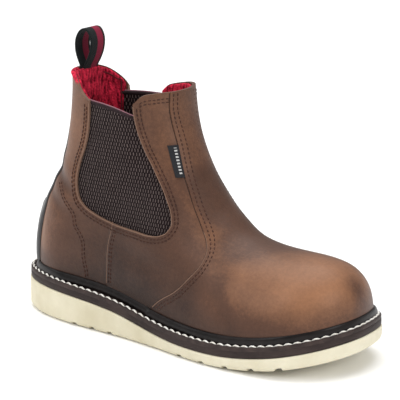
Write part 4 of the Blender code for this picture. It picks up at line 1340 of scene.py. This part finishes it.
mixed = node(tree, "ShaderNodeMix", {
    "Factor": 1.0, "A": stripes.outputs["Color"],
}, data_type="RGBA", blend_type="MULTIPLY")
tree.links.new(shade.outputs[0], mixed.inputs["B"])
tree.links.new(mixed.outputs["Result"], shader.inputs["Base Color"])
bump(tree, shader, knot, 0.0004, 0.7)
line = path(LOOP_PATH, 90)
top = HEEL_FEATHER + SHAFT_HEIGHT
drop = top - LOOP_TAIL
half_loop = np.array([LOOP_WIDTH / 2])
wall = float(back_point(half_loop, np.array([top]))[0, 0]) + LEATHER + 2 * CLEAR
foot = float(back_point(half_loop, np.array([drop]))[0, 0]) + LEATHER + 2 * CLEAR
x = wall + WEBBING + CLEAR / 2 + line[:, 0] * LOOP_DEPTH
z = top + CLEAR + line[:, 1] * LOOP_HEIGHT
tail = np.linspace(foot, wall, 8)[:-1]
x = np.concatenate([tail + WEBBING / 2, x, tail[::-1] + WEBBING * 1.5 + CLEAR])
tail = np.linspace(drop, top, 8)[:-1]
z = np.concatenate([tail, z, tail[::-1]])
for _ in range(3):
    x[1:-1] = (x[:-2] + 2 * x[1:-1] + x[2:]) / 4
    z[1:-1] = (z[:-2] + 2 * z[1:-1] + z[2:]) / 4
centre = np.stack([x, z], axis=1)
way = np.gradient(centre, axis=0)
way /= np.linalg.norm(way, axis=1, keepdims=True)
out = np.stack([-way[:, 1], way[:, 0]], axis=1)
run = np.concatenate([[0.0], np.cumsum(np.linalg.norm(np.diff(centre, axis=0), axis=1))])
half_w, half_t = LOOP_WIDTH / 2, WEBBING / 2
section = [(s, -1.0) for s in np.linspace(-0.94, 0.94, 9)] + [(1.0, -0.5), (1.0, 0.5)]
section += [(s, 1.0) for s in np.linspace(0.94, -0.94, 9)] + [(-1.0, 0.5), (-1.0, -0.5)]
points, uvs = [], []
for k in range(len(centre)):
    for s, t in section:
        spot = centre[k] + out[k] * t * half_t
        points.append((spot[0], s * half_w, spot[1]))
        uvs.append((0.5 + s / 2, run[k]))
count = len(section)
faces = wound(len(centre), count)
faces += [tuple(range(count)), tuple(range(len(points) - count, len(points)))]
loop = piece("pull_loop_webbing", points, faces, webbing, "pull_loop", ["pull_loop"])
lay_map(loop, uvs)

# The side tag
# A small woven tape sewn into the vamp's seam on the outer side, dark grey with plain light bars.
TAG_LENGTH = 0.0230
TAG_WIDTH = 0.0052
TAG_FOOT = 0.586
tape, tree, shader = finish("woven_tape", "#3B3D40", 0.8, Specular_IOR_Level=0.25)
flat, across, along = weave_map(tree)
bars = wave(tree, along, 1 / 10, "SINE")
bars = node(tree, "ShaderNodeMapRange", {"Value": bars, "From Min": -0.2, "From Max": 0.3})
middle = maths(tree, "COMPARE", across, 0.66, 0.13)
ends = maths(tree, "COMPARE", along, 0.5, 0.42)
mask = maths(tree, "MULTIPLY", maths(tree, "MULTIPLY", middle, ends), bars.outputs[0])
inked = node(tree, "ShaderNodeMix", {
    "Factor": mask, "A": linear("#232427"), "B": linear("#B9B9B7"),
}, data_type="RGBA")
tree.links.new(inked.outputs["Result"], shader.inputs["Base Color"])
rows = np.linspace(TAG_FOOT, TAG_FOOT + TAG_LENGTH / SHAFT_HEIGHT, 24)
up, across = np.meshgrid(rows, np.linspace(0, 1, 9), indexing="ij")
x = COLLAR_BACK + column(up, VAMP_EDGE, 1) * COLLAR_LENGTH - TAG_WIDTH * (1 - across)
base, normal = on_side(x, HEEL_FEATHER + up * SHAFT_HEIGHT, -1)
puff = 0.0006 + 0.0010 * (1 - np.abs(2 * across - 1) ** 3)
outer = base + normal * (FRONT_LIFT + puff)[..., None]
inner = base + normal * (FRONT_LIFT + 0.0001)
tag = sheet("woven_tag", outer, inner, tape, slot="side_tag", replaces=["side_tag"])
flat = np.stack([across, (up - up.min()) / (up.max() - up.min())], axis=-1).reshape(-1, 2)
lay_map(tag, np.concatenate([flat, flat]))

# The floor, the light and the camera
# A plain pale floor under soft studio light, seen from ahead of the boot's outer side.
mesh = bpy.data.meshes.new("floor")
mesh.from_pydata([(-6, -6, 0), (6, -6, 0), (6, 6, 0), (-6, 6, 0)], [], [(0, 1, 2, 3)])
mesh.materials.append(finish("white_sweep", "#FFFFFF", 0.9)[0])
floor = bpy.data.objects.new("floor", mesh)
floor.location = (0, 0, -0.0002)
bpy.context.scene.collection.objects.link(floor)
world = bpy.data.worlds.new("studio")
world.use_nodes = True
world.node_tree.nodes["Background"].inputs["Color"].default_value = (1.0, 1.0, 1.0, 1.0)
world.node_tree.nodes["Background"].inputs["Strength"].default_value = 0.45
bpy.context.scene.world = world
bpy.context.scene.view_settings.view_transform = "Standard"
for name, place, size, power in (
    ("overhead", (-0.30, 0.40, 2.4), 3.0, 62.0),
    ("left_box", (-0.28, -1.03, 0.85), 0.8, 5.0),
    ("front_right", (1.3, -0.3, 0.7), 0.7, 5.0),
    ("back_left", (-1.2, -0.5, 0.6), 0.6, 1.6),
):
    lamp = bpy.data.lights.new(name, "AREA")
    lamp.shape, lamp.size, lamp.energy = "DISK", size, power
    made = bpy.data.objects.new(name, lamp)
    made.location = place
    aim = np.array([0.0, 0.0, 0.08]) - place
    tilt = math.acos(-aim[2] / np.linalg.norm(aim))
    made.rotation_euler = (tilt, 0.0, math.atan2(aim[1], aim[0]) - math.pi / 2)
    bpy.context.scene.collection.objects.link(made)
AZIMUTH, ELEVATION, DISTANCE = math.radians(36), math.radians(16), 1.5
PHOTO_SIDE = 400
PIXELS_PER_METRE = 1330
lens = bpy.data.cameras.new("camera")
lens.sensor_width = 36.0
lens.lens = lens.sensor_width * PIXELS_PER_METRE * DISTANCE / PHOTO_SIDE
lens.shift_x = 7 / PHOTO_SIDE
lens.shift_y = 31 / PHOTO_SIDE
camera = bpy.data.objects.new("camera", lens)
camera.location = (
    DISTANCE * math.sin(AZIMUTH) * math.cos(ELEVATION),
    -DISTANCE * math.cos(AZIMUTH) * math.cos(ELEVATION),
    0.080 + DISTANCE * math.sin(ELEVATION),
)
camera.rotation_euler = (math.pi / 2 - ELEVATION, 0.0, AZIMUTH)
bpy.context.scene.collection.objects.link(camera)
bpy.context.scene.camera = camera
